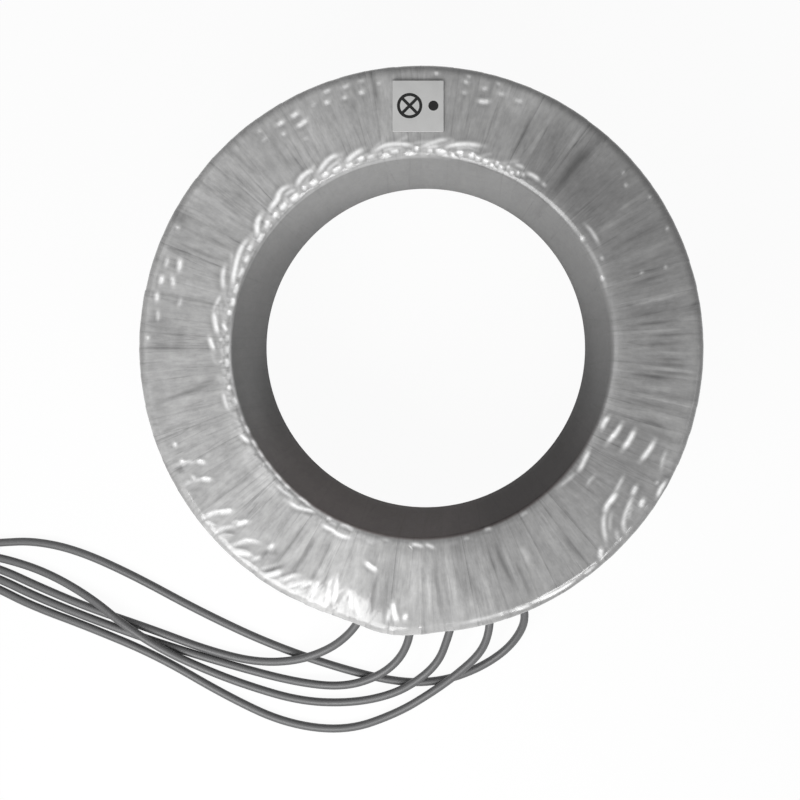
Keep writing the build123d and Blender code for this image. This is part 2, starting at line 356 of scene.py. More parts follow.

# Dark stains under the film, and painted shade and light (a depth below 0 paints the film lighter): angle,
# radius in mm, reach round and across in mm, depth
stainsAndPaintedLight = [
    (-182.5, 121.5, 5, 3, 0.30), (-180.5, 129, 1.2, 12, 0.30), (-208.5, 138, 3.5, 4, 0.45),
    (-207, 127, 1, 10, 0.22), (-203.5, 124, 1, 8, 0.15), (-226, 134, 1.2, 6, 0.22),
    (-259.5, 131, 1.4, 9, 0.30), (-254, 127, 2, 3, 0.30), (-255, 133.5, 1.2, 4, 0.30),
    (-283, 129.5, 3, 2.5, 0.25), (-284.5, 133.5, 1.2, 4, 0.35), (50.5, 113, 2.6, 15, 0.36),
    (44.5, 108, 7, 10, 0.14), (33.6, 118, 1.8, 9, -0.26), (36, 128, 1.4, 8, 0.18),
    (-98.8, 120, 2.4, 13, 0.24), (-80, 102, 4, 7, 0.16), (-70.5, 106, 4, 9, 0.14),
    (-84, 117, 1.4, 8, -0.12), (-75, 122, 2, 12, -0.10), (-90, 112, 3, 14, -0.10), (-61, 118, 6, 18, -0.06),
    (-107, 118, 5, 9, -0.12), (-108.5, 131, 8, 8, -0.20), (-122.5, 131, 4, 6, 0.14),
    (-99.8, 131, 3, 9, 0.26), (-123, 140.2, 30, 0.9, 0.30), (-150, 140.2, 20, 0.9, 0.25),
    (-180, 140.5, 30, 0.9, 0.20), (-35, 140.4, 28, 0.9, 0.35), (-60, 140.4, 24, 0.9, 0.35),
    (12.2, 116, 1.2, 13, -0.40), (10, 113, 1, 9, 0.25), (0.2, 126, 0.8, 10, 0.10),
    (-76.5, 128, 0.9, 7, -0.25), (-64, 112, 1.2, 5, -0.25), (-112, 100.5, 16, 4, -0.38),
    (-127, 100.5, 16, 4, -0.34), (-142, 100.5, 16, 4, -0.42), (-157, 100.5, 16, 4, -0.40),
    (-172, 100.5, 14, 4, -0.16), (-100, 104, 6, 9, 0.06), (-290, 133, 17, 7, -0.34),
    (-307, 133, 18, 7, -0.36), (-324, 133, 14, 6, -0.12), (-185, 133, 15, 7, 0.24),
    (-203, 133, 15, 7, 0.10), (-80, 133, 15, 7, -0.16), (-168, 134, 14, 6, 0.14), (-352, 133, 18, 6, -0.18),
    (-262, 134, 16, 5, -0.10), (-22, 133, 15, 7, -0.28), (-5, 133, 12, 7, -0.16), (-40, 102, 8, 5, 0.05),
    (-38, 134, 12, 5, -0.20), (-284, 101, 15, 3.5, 0.20), (-304, 100, 12, 3.5, 0.24),
    (-320, 100, 12, 3.5, 0.16), (-262, 101, 15, 3.5, 0.16), (-240, 101, 15, 3.5, 0.10),
    (-6.7, 116, 1.0, 9, 0.60), (-5.4, 124, 0.8, 11, 0.42), (-3.5, 123, 0.9, 11, 0.42),
    (-2.3, 123, 0.7, 7, 0.47), (-4.6, 124, 0.8, 11, -0.35), (-9.5, 119, 1.4, 8, -0.35),
    (-12, 125, 1.0, 14, -0.35), (-17.6, 120, 0.8, 8, 0.47), (-0.8, 122, 0.8, 10, -0.35),
    (50.6, 122, 2.2, 13, 0.42), (40, 116, 16, 12, 0.05), (54.4, 128, 1.6, 7, -0.35),
    (61.5, 124, 1.2, 9, -0.30), (65, 116, 1.2, 10, 0.30), (72, 116, 1.0, 9, -0.25),
    (35.4, 124, 1.0, 5, -0.47), (34, 110, 1.4, 4, -0.42), (28, 118, 1.0, 12, 0.35),
    (24, 122, 1.2, 10, -0.25), (21.5, 118, 1.0, 12, 0.30), (17.4, 118, 0.8, 10, 0.42),
    (12.2, 120, 1.4, 14, -0.30), (9, 112, 1.4, 8, 0.30), (6.6, 116, 0.9, 10, 0.54),
    (4.6, 122, 0.8, 10, -0.35), (3.4, 124, 0.7, 9, 0.47), (1.4, 118, 0.9, 12, 0.35),
    (-13.5, 116, 1.0, 12, 0.35), (-15.4, 122, 1.0, 10, -0.30), (-22, 104, 3, 5, 0.10),
    (-53, 122, 1.2, 12, 0.30), (-56, 118, 1.4, 12, -0.25), (-63.4, 115, 1.6, 6, -0.35),
    (-68, 115, 0.9, 9, -0.42), (-75, 122, 1.4, 8, -0.30), (-82.6, 118, 1.2, 9, -0.35),
    (-88.6, 122, 1.0, 10, -0.42), (-92.4, 118, 1.4, 10, -0.30), (-79.6, 101, 4, 5, 0.12),
    (-32, 123, 1, 12, 0.28), (-20, 120, 2, 20, 0.15), (-48, 107, 1.2, 12, 0.15), (-27.6, 137, 1, 3, 0.50),
    (-154, 134.5, 0.8, 3, 0.35), (-24, 117.5, 6, 3, 0.20), (-24, 108.5, 6, 2, 0.20), (-24, 129, 6, 3, 0.15),
    (-29.5, 120, 4, 14, 0.12), (-125, 129, 3, 8, 0.22), (-121.5, 100, 5, 4, 0.22),
    (-128.7, 114, 0.8, 12, 0.14), (-148.5, 115, 0.8, 16, 0.12), (-170.5, 114, 2.2, 12, 0.16),
]

# Short folds of the film, painted bright as whitened creases and glints, by angle: start, radius in mm, how
# far round, how far it climbs in mm, and strength
dashes = [
    (-19.5, 98.4, 5.1, -1.0, 0.85), (-22, 131, 5.4, 2.2, 0.3), (-28.2, 137.8, 4.4, 0.3, 1.0),
    (-29.2, 134, 0.8, 0.2, 0.4), (-34, 132.5, 2.2, 1.5, 0.85), (-36, 106, 4, 0, 0.3),
    (-43, 131.5, 1.4, 4.5, 0.35), (-48, 132.6, 1.8, 4.4, 0.8), (-93.8, 132, 0.2, 3.5, 0.8),
    (-150, 131, 1.6, 0.6, 0.5), (-154, 132.6, 1.8, 0.6, 0.5), (-158.5, 132.4, 1, 0.2, 0.6),
    (-182, 137.4, 1, 0, 0.5), (-186, 133, 2.5, 1, 0.4), (-190.2, 135, 2, 0.9, 0.8),
    (-193.8, 135.1, 2, 0.2, 0.95), (-197.6, 134.8, 2.4, 0.8, 0.5), (-194, 128.5, 2.4, 2, 0.7),
    (-197.5, 128, 3, 1.5, 0.95), (-189.8, 124, 2.2, -0.5, 0.35), (-206, 136.8, 0.8, 0, 0.65),
    (-232, 130.8, 1.8, 1, 0.4), (-232.7, 136, 0.8, 0, 0.4), (-236.7, 133.2, 1.9, 0.3, 0.95),
    (-236.6, 128, 0.9, 0, 0.6), (-240.2, 133, 2, 0.9, 1.0), (-240, 127.4, 3.3, 1.1, 1.0),
    (-240, 120.5, 1.5, -0.2, 0.3), (-245, 133, 1.6, 1.6, 0.3), (-248.6, 136.9, 1.8, 1, 0.7),
    (-248.1, 131.8, 1.1, 0.6, 0.95), (-252, 131.2, 1.1, 0.4, 0.75), (-252.8, 136, 1.5, 1.2, 0.6),
    (-255.9, 131.2, 1.1, 0.8, 0.9), (-256.4, 137, 1.1, 0.6, 0.6), (-260, 134.2, 0.9, 0.5, 0.5),
    (-272.2, 137.7, 1.1, 0, 0.85), (-278.8, 137.9, 1.3, 0, 0.65), (-278.6, 134.9, 1.1, 0.1, 0.75),
    (-278.4, 129.3, 1.3, 0.6, 0.45), (-282.5, 133, 1.4, 1, 0.6), (-282.2, 126.6, 2.9, 1.2, 1.0),
    (-286.2, 132.6, 1.5, 1, 0.6), (-285.3, 137.6, 1.1, 0, 0.5), (-290, 132.2, 2, 1, 0.55),
    (-318.2, 133, 0.7, 0, 0.45), (-320.6, 130, 0.7, 0, 0.45), (-325.6, 136, 0.8, 0, 0.45),
    (-333.2, 135.8, 0.8, 0, 0.5), (-340.3, 115.3, 0.7, 0, 0.45), (-340.8, 127.5, 0.8, 0, 0.4),
    # beads on the bore's edge
    (-93.4, 98.6, 0.4, 0.6, 0.95), (-100, 97.2, 2.4, 0, 0.3), (-104, 100.2, 3, 0, 0.25),
    (-116, 98.2, 3, 0.1, 0.5), (-110.8, 97.2, 5, 0.1, 0.8), (-118.2, 97.3, 2, 0, 0.8),
    (-125.4, 97.2, 5.6, 0.1, 0.85), (-133.4, 97.3, 2.8, 0, 0.85), (-136.8, 97.2, 3.6, 0, 0.9),
    (-141, 97.2, 4, 0, 0.7), (-145.6, 97.2, 3.4, 0, 0.7), (-149.4, 97.1, 3, 0, 0.8),
    (-143.8, 98.3, 0.8, 0.2, 0.6), (-146.2, 97.2, 1, 0, 0.6), (-154, 97, 3, 0.4, 0.8),
    (-158, 97.4, 2.2, 0, 0.5), (-163, 97.8, 3, 0.4, 0.9), (-168, 98.6, 1.6, 0.9, 1.0),
    (-171, 98.3, 2.4, 0, 0.75), (-174.5, 98.5, 3.2, 0.1, 0.95), (-178.3, 98.3, 3, 0, 0.85),
    (-182, 98.3, 2.6, 0, 0.7), (-189.7, 98.9, 2, 0.1, 0.95), (-192.3, 98.4, 3.3, 0.3, 0.95),
    (-176, 101, 1, 0.3, 0.6), (-182.2, 101.3, 1.2, 0, 0.6), (-196, 98.7, 3.6, 0.3, 0.8),
    (-201, 99.2, 3.8, 0, 0.7), (-205.6, 99.4, 3, 0.2, 0.85), (-209.3, 100.3, 1.9, 0.5, 1.0),
    (-212.5, 99, 3.6, 0.4, 0.85), (-217.2, 99.3, 2.8, 1.9, 0.95), (-220.8, 99.8, 2.7, 0.4, 0.95),
    (-223.9, 100, 3.2, 0.3, 1.0), (-227.7, 99.6, 3.9, 0, 0.95), (-232.8, 99.6, 1.4, 1.4, 0.9),
    (-235.2, 99.4, 2.8, 0.5, 0.95), (-239.2, 99.8, 2.9, 0.7, 1.0), (-242.6, 99.8, 3.4, 0.4, 0.9),
    (-246.6, 99.2, 3, 0.5, 0.85), (-250.6, 99.8, 2.4, 1, 0.95), (-253.4, 100, 2.6, -0.2, 0.8),
    (-257.8, 98.8, 2.6, 0.2, 0.85), (-260.2, 100.3, 3, 0, 0.9), (-264.6, 98.4, 2.6, 0, 0.75),
    (-267.4, 100, 1.2, 0.5, 1.0), (-271, 99.4, 1.8, 0.4, 0.9), (-273, 99.9, 4, -0.9, 1.0),
    (-277.8, 98.4, 1.4, 0, 0.75), (-279.4, 99.8, 2.3, 0.7, 1.0), (-280, 99, 1.8, 0.5, 0.9),
    (-283, 99.2, 1.9, 0.7, 1.0), (-283.4, 100.4, 1.2, 0, 0.9), (-285, 98.9, 1.8, 0.3, 0.75),
    (-287.2, 98.8, 2, 0.2, 0.8), (-289.6, 98.2, 1.5, 0, 0.7), (-291, 99.7, 1.2, 0.3, 0.7),
    (-292.2, 98.5, 1.6, 0.1, 0.7), (-294.2, 100.3, 1.4, 0.3, 0.6), (-295.8, 98.6, 1.6, 0, 0.65),
    (-297.6, 99.6, 1.2, 0.4, 0.6), (-299, 100.6, 1.4, 0, 0.5), (-305.4, 102, 1.6, 0, 0.45),
    (-324.8, 97, 1.2, 0, 0.5), (-332.2, 100.1, 1.4, 0.2, 0.35), (-337.6, 96.6, 1.6, 0, 0.5),
    (-69, 95.9, 2.6, -0.4, 0.5), (-57, 96.6, 3, 0, 0.25), (-76, 97, 2.2, 0, 0.25),
]

# Longer folds, each painted with its whitened crease and glint and with shade beside it: strength, then the
# way as (angle, radius in mm). Less than 0 is a furrow, painted dark at its bottom.
folds = [
    (0.9, [(-21.2, 124), (-24.4, 123), (-27.5, 121.5)]),
    (1.0, [(-20.5, 112.6), (-24, 112.2), (-27, 110.9)]),
    (0.9, [(-20, 105.6), (-23.5, 104.6), (-27.5, 102.6)]),
    (0.4, [(-31.8, 117.8), (-34.5, 118.4), (-37.5, 119.4)]),
    (1.0, [(-36, 119.6), (-38.5, 120), (-40.5, 120), (-42.4, 122)]),
    (0.6, [(-40.8, 120.6), (-43.2, 123), (-44.8, 126.6), (-46.2, 131), (-46.8, 133.5)]),
    (0.3, [(-40.6, 123.5), (-42.6, 126.2), (-44.4, 130)]),
    (0.85, [(-32.4, 126), (-33.6, 126.2), (-35, 127)]),
    (0.6, [(-34, 126.8), (-36, 127.8), (-38.6, 129.3), (-40.4, 131), (-41.8, 133.4), (-42.4, 137.4)]),
    (0.3, [(-36.5, 129.6), (-38.6, 131.2), (-40, 133)]),
    (0.75, [(-30.8, 96.8), (-34, 97.3), (-36.6, 98.2), (-39, 98.2)]),
    (0.35, [(-38.5, 97.8), (-42, 97.2), (-46, 96.6)]), (0.8, [(-97, 126.3), (-96.6, 131), (-95.7, 137)]),
    (0.6, [(-97.2, 129), (-97.4, 133), (-97.7, 137)]),
    (0.35, [(-105.6, 127), (-104.8, 131), (-103.8, 137)]),
    (0.5, [(-107, 126), (-106.2, 130), (-105.4, 136)]),
    (0.6, [(-110.8, 120), (-110.2, 127), (-109.4, 136)]),
    (0.5, [(-112, 122.5), (-111.6, 129), (-111, 136)]),
    (0.45, [(-114.2, 126), (-114.4, 131), (-114.2, 138)]),
    (0.6, [(-115.4, 127.5), (-116.4, 132), (-118, 137)]),
    (0.4, [(-116.6, 128.5), (-118, 132.5), (-120, 137)]),
    (0.4, [(-119.6, 128), (-120.4, 132), (-121.6, 137)]),
    (0.6, [(-122.2, 131), (-123.2, 134), (-125, 138)]), (0.35, [(-123.6, 128), (-125.2, 133), (-127, 137)]),
    (0.55, [(-127.4, 122.5), (-127.5, 124), (-128, 126.5)]),
    (0.4, [(-127.8, 130), (-128.6, 133.5), (-129.4, 136)]),
    (0.6, [(-129.6, 133.5), (-131, 135.5), (-132.8, 138)]),
    (0.45, [(-131.8, 128), (-133.2, 131.5), (-134.4, 137.5)]),
    (0.35, [(-130, 126), (-132, 128.6), (-133.4, 131)]),
    (0.3, [(-139.6, 135), (-140.6, 136.8), (-141.6, 139)]),
    (0.7, [(-135.2, 121.6), (-136, 124), (-137, 128.6)]),
    (0.4, [(-136.3, 127), (-138, 132.4), (-138.6, 139)]), (0.3, [(-137, 125), (-138, 129)]),
    (0.75, [(-139.6, 124), (-140.6, 127.6), (-141.6, 131)]),
    (0.5, [(-140.8, 128.6), (-142.2, 133), (-142.4, 138.4)]),
    (0.6, [(-148.3, 123.4), (-149, 126), (-149.8, 128.6)]),
    (0.35, [(-149.2, 126), (-150.4, 132), (-150.6, 138)]),
    (0.6, [(-152.3, 122), (-153, 123.8), (-154, 126.2)]),
    (0.35, [(-153.4, 125), (-154.6, 130.5), (-155, 137.6)]),
    (0.5, [(-51.4, 137.4), (-53, 137.6), (-54.6, 137.4)]),
    (0.6, [(-55.4, 137.4), (-60, 137.8), (-66.2, 137.4)]),
    (0.5, [(-67, 137.6), (-68.8, 137.8), (-70.4, 137.4)]), (0.25, [(-70, 137), (-76, 137.4), (-83, 137.8)]),
    # along the bore's edge
    (0.14, [(-308, 97.1), (-313, 96.9), (-319, 96.9), (-326, 96.9)]),
    (0.16, [(-325, 96.9), (-333, 97.2), (-339, 96.8), (-345, 96.2)]),
    (0.45, [(-322, 101.8), (-324.5, 102.4), (-327, 102.4), (-329.5, 101.9)]),
    (0.5, [(-296, 102.8), (-298, 103.4), (-299.4, 103.2)]),
    (0.7, [(-300, 101.8), (-302.5, 102.6), (-305, 102)]),
    (0.3, [(-108, 97.3), (-118, 97.2), (-127, 97.3), (-140, 97.1), (-152, 97)]),
    (0.75, [(-101.6, 113), (-103.5, 111.8), (-105.6, 109.6)]),
    (0.4, [(-155, 96.8), (-167, 97.2), (-180, 97.6), (-195, 97.4)]),
    (0.4, [(-198, 97.5), (-215, 97.6), (-233, 97.6), (-250, 97.8), (-268, 97.6), (-284, 97.4)]),
    # crescents that rise from it
    (0.6, [(-86.6, 99.3), (-88.2, 98.2), (-89.6, 97)]),
    (0.7, [(-89.8, 98.6), (-91.8, 97.8), (-93.8, 97.3)]),
    (0.8, [(-110.3, 100), (-112.5, 101.5), (-115, 101.8), (-117, 100.9), (-118.5, 101.1), (-121.2, 100.8)]),
    (0.85, [(-122.3, 97.4), (-125, 98.2), (-127, 99.9), (-129, 101.1), (-132.3, 101.6)]),
    (0.55, [(-131, 98.6), (-134, 99.6), (-138.2, 100.1)]),
    (0.9, [(-151.5, 98.6), (-153.5, 100), (-155.6, 101.1)]),
    (0.6, [(-162.3, 101.9), (-165, 102.3), (-168.2, 102.1)]),
    (0.85, [(-179.5, 104), (-181.2, 105.4), (-183.5, 107)]),
    (0.95, [(-183.8, 102.4), (-186, 103.8), (-188, 105), (-190.5, 106.2)]),
    (0.45, [(-190, 106.3), (-192.5, 105.8), (-195.5, 104.1)]),
    (0.9, [(-185.2, 98), (-186, 100), (-187.8, 100.8)]),
    (0.7, [(-196, 103.3), (-198.2, 105.2), (-200.5, 106.8), (-203.5, 107.5)]),
    (0.95, [(-196.3, 98.5), (-198.5, 100.5), (-201, 101.5), (-204.5, 102.7), (-209, 104.1), (-213.5, 103.1)]),
    (1.0, [(-213.6, 99.3), (-215.5, 102.1), (-217.5, 104.5), (-220.3, 105.4)]),
    (1.0, [(-220.8, 101.8), (-223, 103.8), (-225.6, 104.2), (-227, 105.8), (-229, 106.4), (-231.3, 104.5)]),
    (0.6, [(-227.5, 103.1), (-229.5, 103.1), (-231.8, 101.9)]),
    (1.0, [(-231.6, 102.1), (-233.6, 104.5), (-236, 105.5), (-239, 104.9)]),
    (1.0, [(-238.3, 101.8), (-241, 103.9), (-243, 105.5), (-245, 106.1), (-247, 105.1)]),
    (0.6, [(-241, 100.7), (-243.5, 102.5), (-246.5, 102.7)]),
    (1.0, [(-246.8, 100.3), (-249, 102.1), (-251, 103.3), (-254, 104.3)]),
    (0.85, [(-254.8, 100.5), (-257, 102.5), (-259.5, 103.5), (-263, 103.3), (-266, 102.1), (-268.4, 100.7)]),
    (0.5, [(-257.5, 100.7), (-260, 101.5), (-263, 101.5), (-265.5, 100.3)]),
    (0.75, [(-268.8, 100.5), (-271, 102.2), (-273, 103.3), (-275, 104.7), (-277.3, 105.4)]),
    (0.6, [(-270.3, 100.3), (-272.5, 101.3), (-275, 101.8)]),
    (0.95, [(-275, 100.9), (-277, 102.1), (-280, 103.8), (-283, 104.8), (-286.8, 105.7)]),
    (0.6, [(-278, 101.1), (-280.5, 102.5), (-283.5, 103.3), (-285.5, 102.5)]),
    # furrows
    (-0.9, [(-119, 125.4), (-120.6, 129.4), (-122.6, 135)]),
    (-1.0, [(-122.2, 126.6), (-124, 131.4), (-126.2, 138)]),
    (-0.8, [(-115, 130), (-116.2, 132.6), (-118, 136)]),
    (-0.6, [(-116.8, 128), (-118.4, 132), (-119.8, 134.6)]),
    (-0.8, [(-127.6, 126), (-127.9, 129), (-128, 133)]),
    (-0.8, [(-130.8, 131), (-132.4, 133.6), (-134, 136.2)]),
    (-0.8, [(-135.4, 130), (-136.6, 132.6), (-137.8, 135.4)]), (-0.6, [(-139.6, 133.6), (-141.2, 137.4)]),
    (-0.7, [(-113.4, 137), (-113.3, 130), (-112.8, 118)]), (-0.5, [(-109, 138), (-110.6, 134)]),
    (-0.5, [(-104.4, 137), (-106, 133.4)]), (-0.5, [(-125.4, 124), (-126.4, 126.4), (-127.4, 127)]),
    (-0.5, [(-148, 131), (-149, 137.4)]), (-0.7, [(-153.2, 132.6), (-153.4, 137)]),
    (-0.7, [(-66.7, 135), (-66.3, 125), (-66.8, 113)]), (-0.85, [(-69, 128), (-69.6, 115), (-69.8, 101)]),
    (-0.5, [(-71.8, 118), (-72, 110), (-72.5, 103)]), (-0.45, [(-78, 133), (-77.8, 123), (-78.3, 112)]),
    (-0.3, [(-74.3, 126), (-74.5, 111)]), (-0.8, [(-86.1, 136), (-86.6, 125), (-87, 106)]),
    (-1.0, [(-101.2, 138), (-101.9, 126), (-101.6, 113)]),
    (-0.5, [(-116.3, 134), (-115.8, 122), (-115.5, 103)]),
    (-0.85, [(-121, 131), (-120, 122), (-119.9, 106)]), (-0.75, [(-125, 131), (-124.3, 120), (-124, 104)]),
    (-0.45, [(-123, 118), (-122.6, 105)]), (-0.35, [(-131.7, 125), (-131.6, 111)]),
    (-0.4, [(-136.6, 121), (-136.2, 107)]), (-0.45, [(-143.9, 136), (-143.8, 99)]),
    (-0.5, [(-162.6, 138), (-163, 120)]), (-0.7, [(-168.6, 138), (-169.4, 124), (-170.4, 110)]),
    (-0.5, [(-171.4, 112), (-171.8, 104)]), (-0.5, [(-180.3, 138), (-180.2, 124)]),
    (-0.45, [(-203.4, 131), (-203.9, 105)]), (-0.4, [(-207.3, 121), (-207.4, 104)]),
    (-0.35, [(-216, 130), (-216, 109)]), (-0.4, [(-219.8, 126), (-220, 108)]),
    (-0.3, [(-223.6, 128), (-223.4, 110)]), (-0.4, [(-226.3, 138), (-226, 117)]),
    (-0.4, [(-234, 131), (-233.8, 109)]), (-0.3, [(-241.8, 118), (-241.6, 107)]),
    (-0.6, [(-259.6, 138), (-259.5, 126)]), (-0.35, [(-294.8, 130), (-295, 108)]),
    (-0.4, [(-341.6, 130), (-341.4, 116)]), (-0.35, [(-12.5, 130), (-12.6, 112)]),
]
foldSet = {
    "height": 0.55 * mm,           # of a fold of strength 1
    "width": (0.75 * mm, 1.25 * mm),       # half widths at strength 0 and 1
    "slitShade": 0.50,             # how dark a furrow is at its bottom
    # a fold that starts this near the bore ends at the first depth, any other at the second
    "innerReach": (5 * mm, 5.5 * mm, 11 * mm),
    "fadeShare": 0.4,              # the share of that way over which they end
    "taper": 1.3,                  # how soon they reach their height from an end
    "profile": (1.2, 0.3, 0.4),    # the share of a crest, of the trough beside it, of a furrow
    "troughWidth": 2.0,            # in crests
    "furrowShade": 0.34,           # how much darker the film is between the gathers
    # how much a fold's crest is painted pale, as whitened crease and painted glint
    "shine": 1.0,
    "shade": 0.6,                  # how dark the film is beside a fold
    "bow": 0.06,                   # how far a short fold arches, as a share of its length
    "middle": (1.0 * mm, -1.0 * mm),       # the folds' radii start here: the face lies this far off
}


def quarterBend(centre, reach, start, steps):      # a quarter of an ellipse, clockwise, without its end
    turns = [math.radians(start - 90 * step / steps) for step in range(steps)]
    return [(centre[0] + reach[0] * math.cos(turn), centre[1] + reach[1] * math.sin(turn)) for turn in turns]


def straight(start, end, steps):
    return [tuple(a + (b - a) * step / steps for a, b in zip(start, end)) for step in range(steps)]


def tapeSection():
    rows, top, low = wrapSet["rows"], ringHigh.z - wrapSet["lapRise"], wrapSet["base"]
    outer = ringHigh.x - wrapSet["lapRise"] - wrapSet["crown"]
    (ax, az), (bx, bz), (cx, cz) = (wrapSet[name] for name in ("innerCorner", "outerCorner", "floorCorner"))
    points = quarterBend((boreRadius + ax, top - az), (ax, az), 180, rows["innerCorner"])
    points += straight((boreRadius + ax, top), (outer - bx, top), rows["face"])
    points += quarterBend((outer - bx, top - bz), (bx, bz), 90, rows["outerCorner"])
    wall = straight((outer, top - bz), (outer, low + cz), rows["outerWall"])
    points += [(radius + wrapSet["crown"] * math.sin(math.pi * step / rows["outerWall"]), z)
               for step, (radius, z) in enumerate(wall)]
    points += quarterBend((outer - cx, low + cz), (cx, cz), 0, rows["floorCorner"])
    points += straight((outer - cx, low), (boreRadius + cx, low), rows["floor"])
    points += quarterBend((boreRadius + cx, low + cz), (cx, cz), -90, rows["floorCorner"])
    points += straight((boreRadius, low + cz), (boreRadius, top - az), rows["boreWall"])
    return points


def tapeTurns(angle, laps, drift):                 # counts the laps round the ring
    wander = ((angle * 7.0).op("SINE") + (angle * 17.0).op("SINE")) * (drift * 0.5)
    return (angle - wander) * laps / fullTurn


def ridge(across, crest, width):
    off = (across - crest) / width
    return (off * off * -1.0).op("EXPONENT")


# One row of folds: each leaves its line at one end, arches outwards and thins out at both ends.
def foldRow(turns, across, perLap, offset, span, start, reach, width, seed):
    place = turns * perLap + offset
    draw = chance(place.op("FLOOR") + seed)
    along = (1.0 - place.op("FRACT")) / (span * (draw * 0.35 + 0.8))
    back = (1.0 - along).op("MAXIMUM", 0.0)
    crest = (1.0 - back * back) * reach * (draw * 0.8 + 0.55) + start
    ends = smooth(along, 0.0, 0.2) * (1.0 - smooth(along, 0.75, 1.0))
    return ridge(across, crest, width * (draw * 0.4 + 0.8)) * ends * (draw * 0.3 + 0.75)


def aroundCurve(angle, stops):                     # a value given at angles in degrees, read by angle
    curve = addNode(angle.tree, "ShaderNodeFloatCurve", {"Value": angle / fullTurn + 0.5})
    points = curve.mapping.curves[0].points
    while len(points) < len(stops):
        points.new(0.5, 0.5)
    for place, (degree, value) in enumerate(stops):
        points[place].location = (degree / 360 + 0.5, value)
    curve.mapping.update()
    return Field(curve.outputs[0])


def hill(angle, place, height, width):             # smooth, and level from half its width on
    gap = ((angle - math.radians(place) + math.pi).op("FLOORED_MODULO", fullTurn) - math.pi)
    part = (gap * (180 / width)).op("MINIMUM", math.pi / 2).op("MAXIMUM", -math.pi / 2).op("COSINE")
    return part * part * height


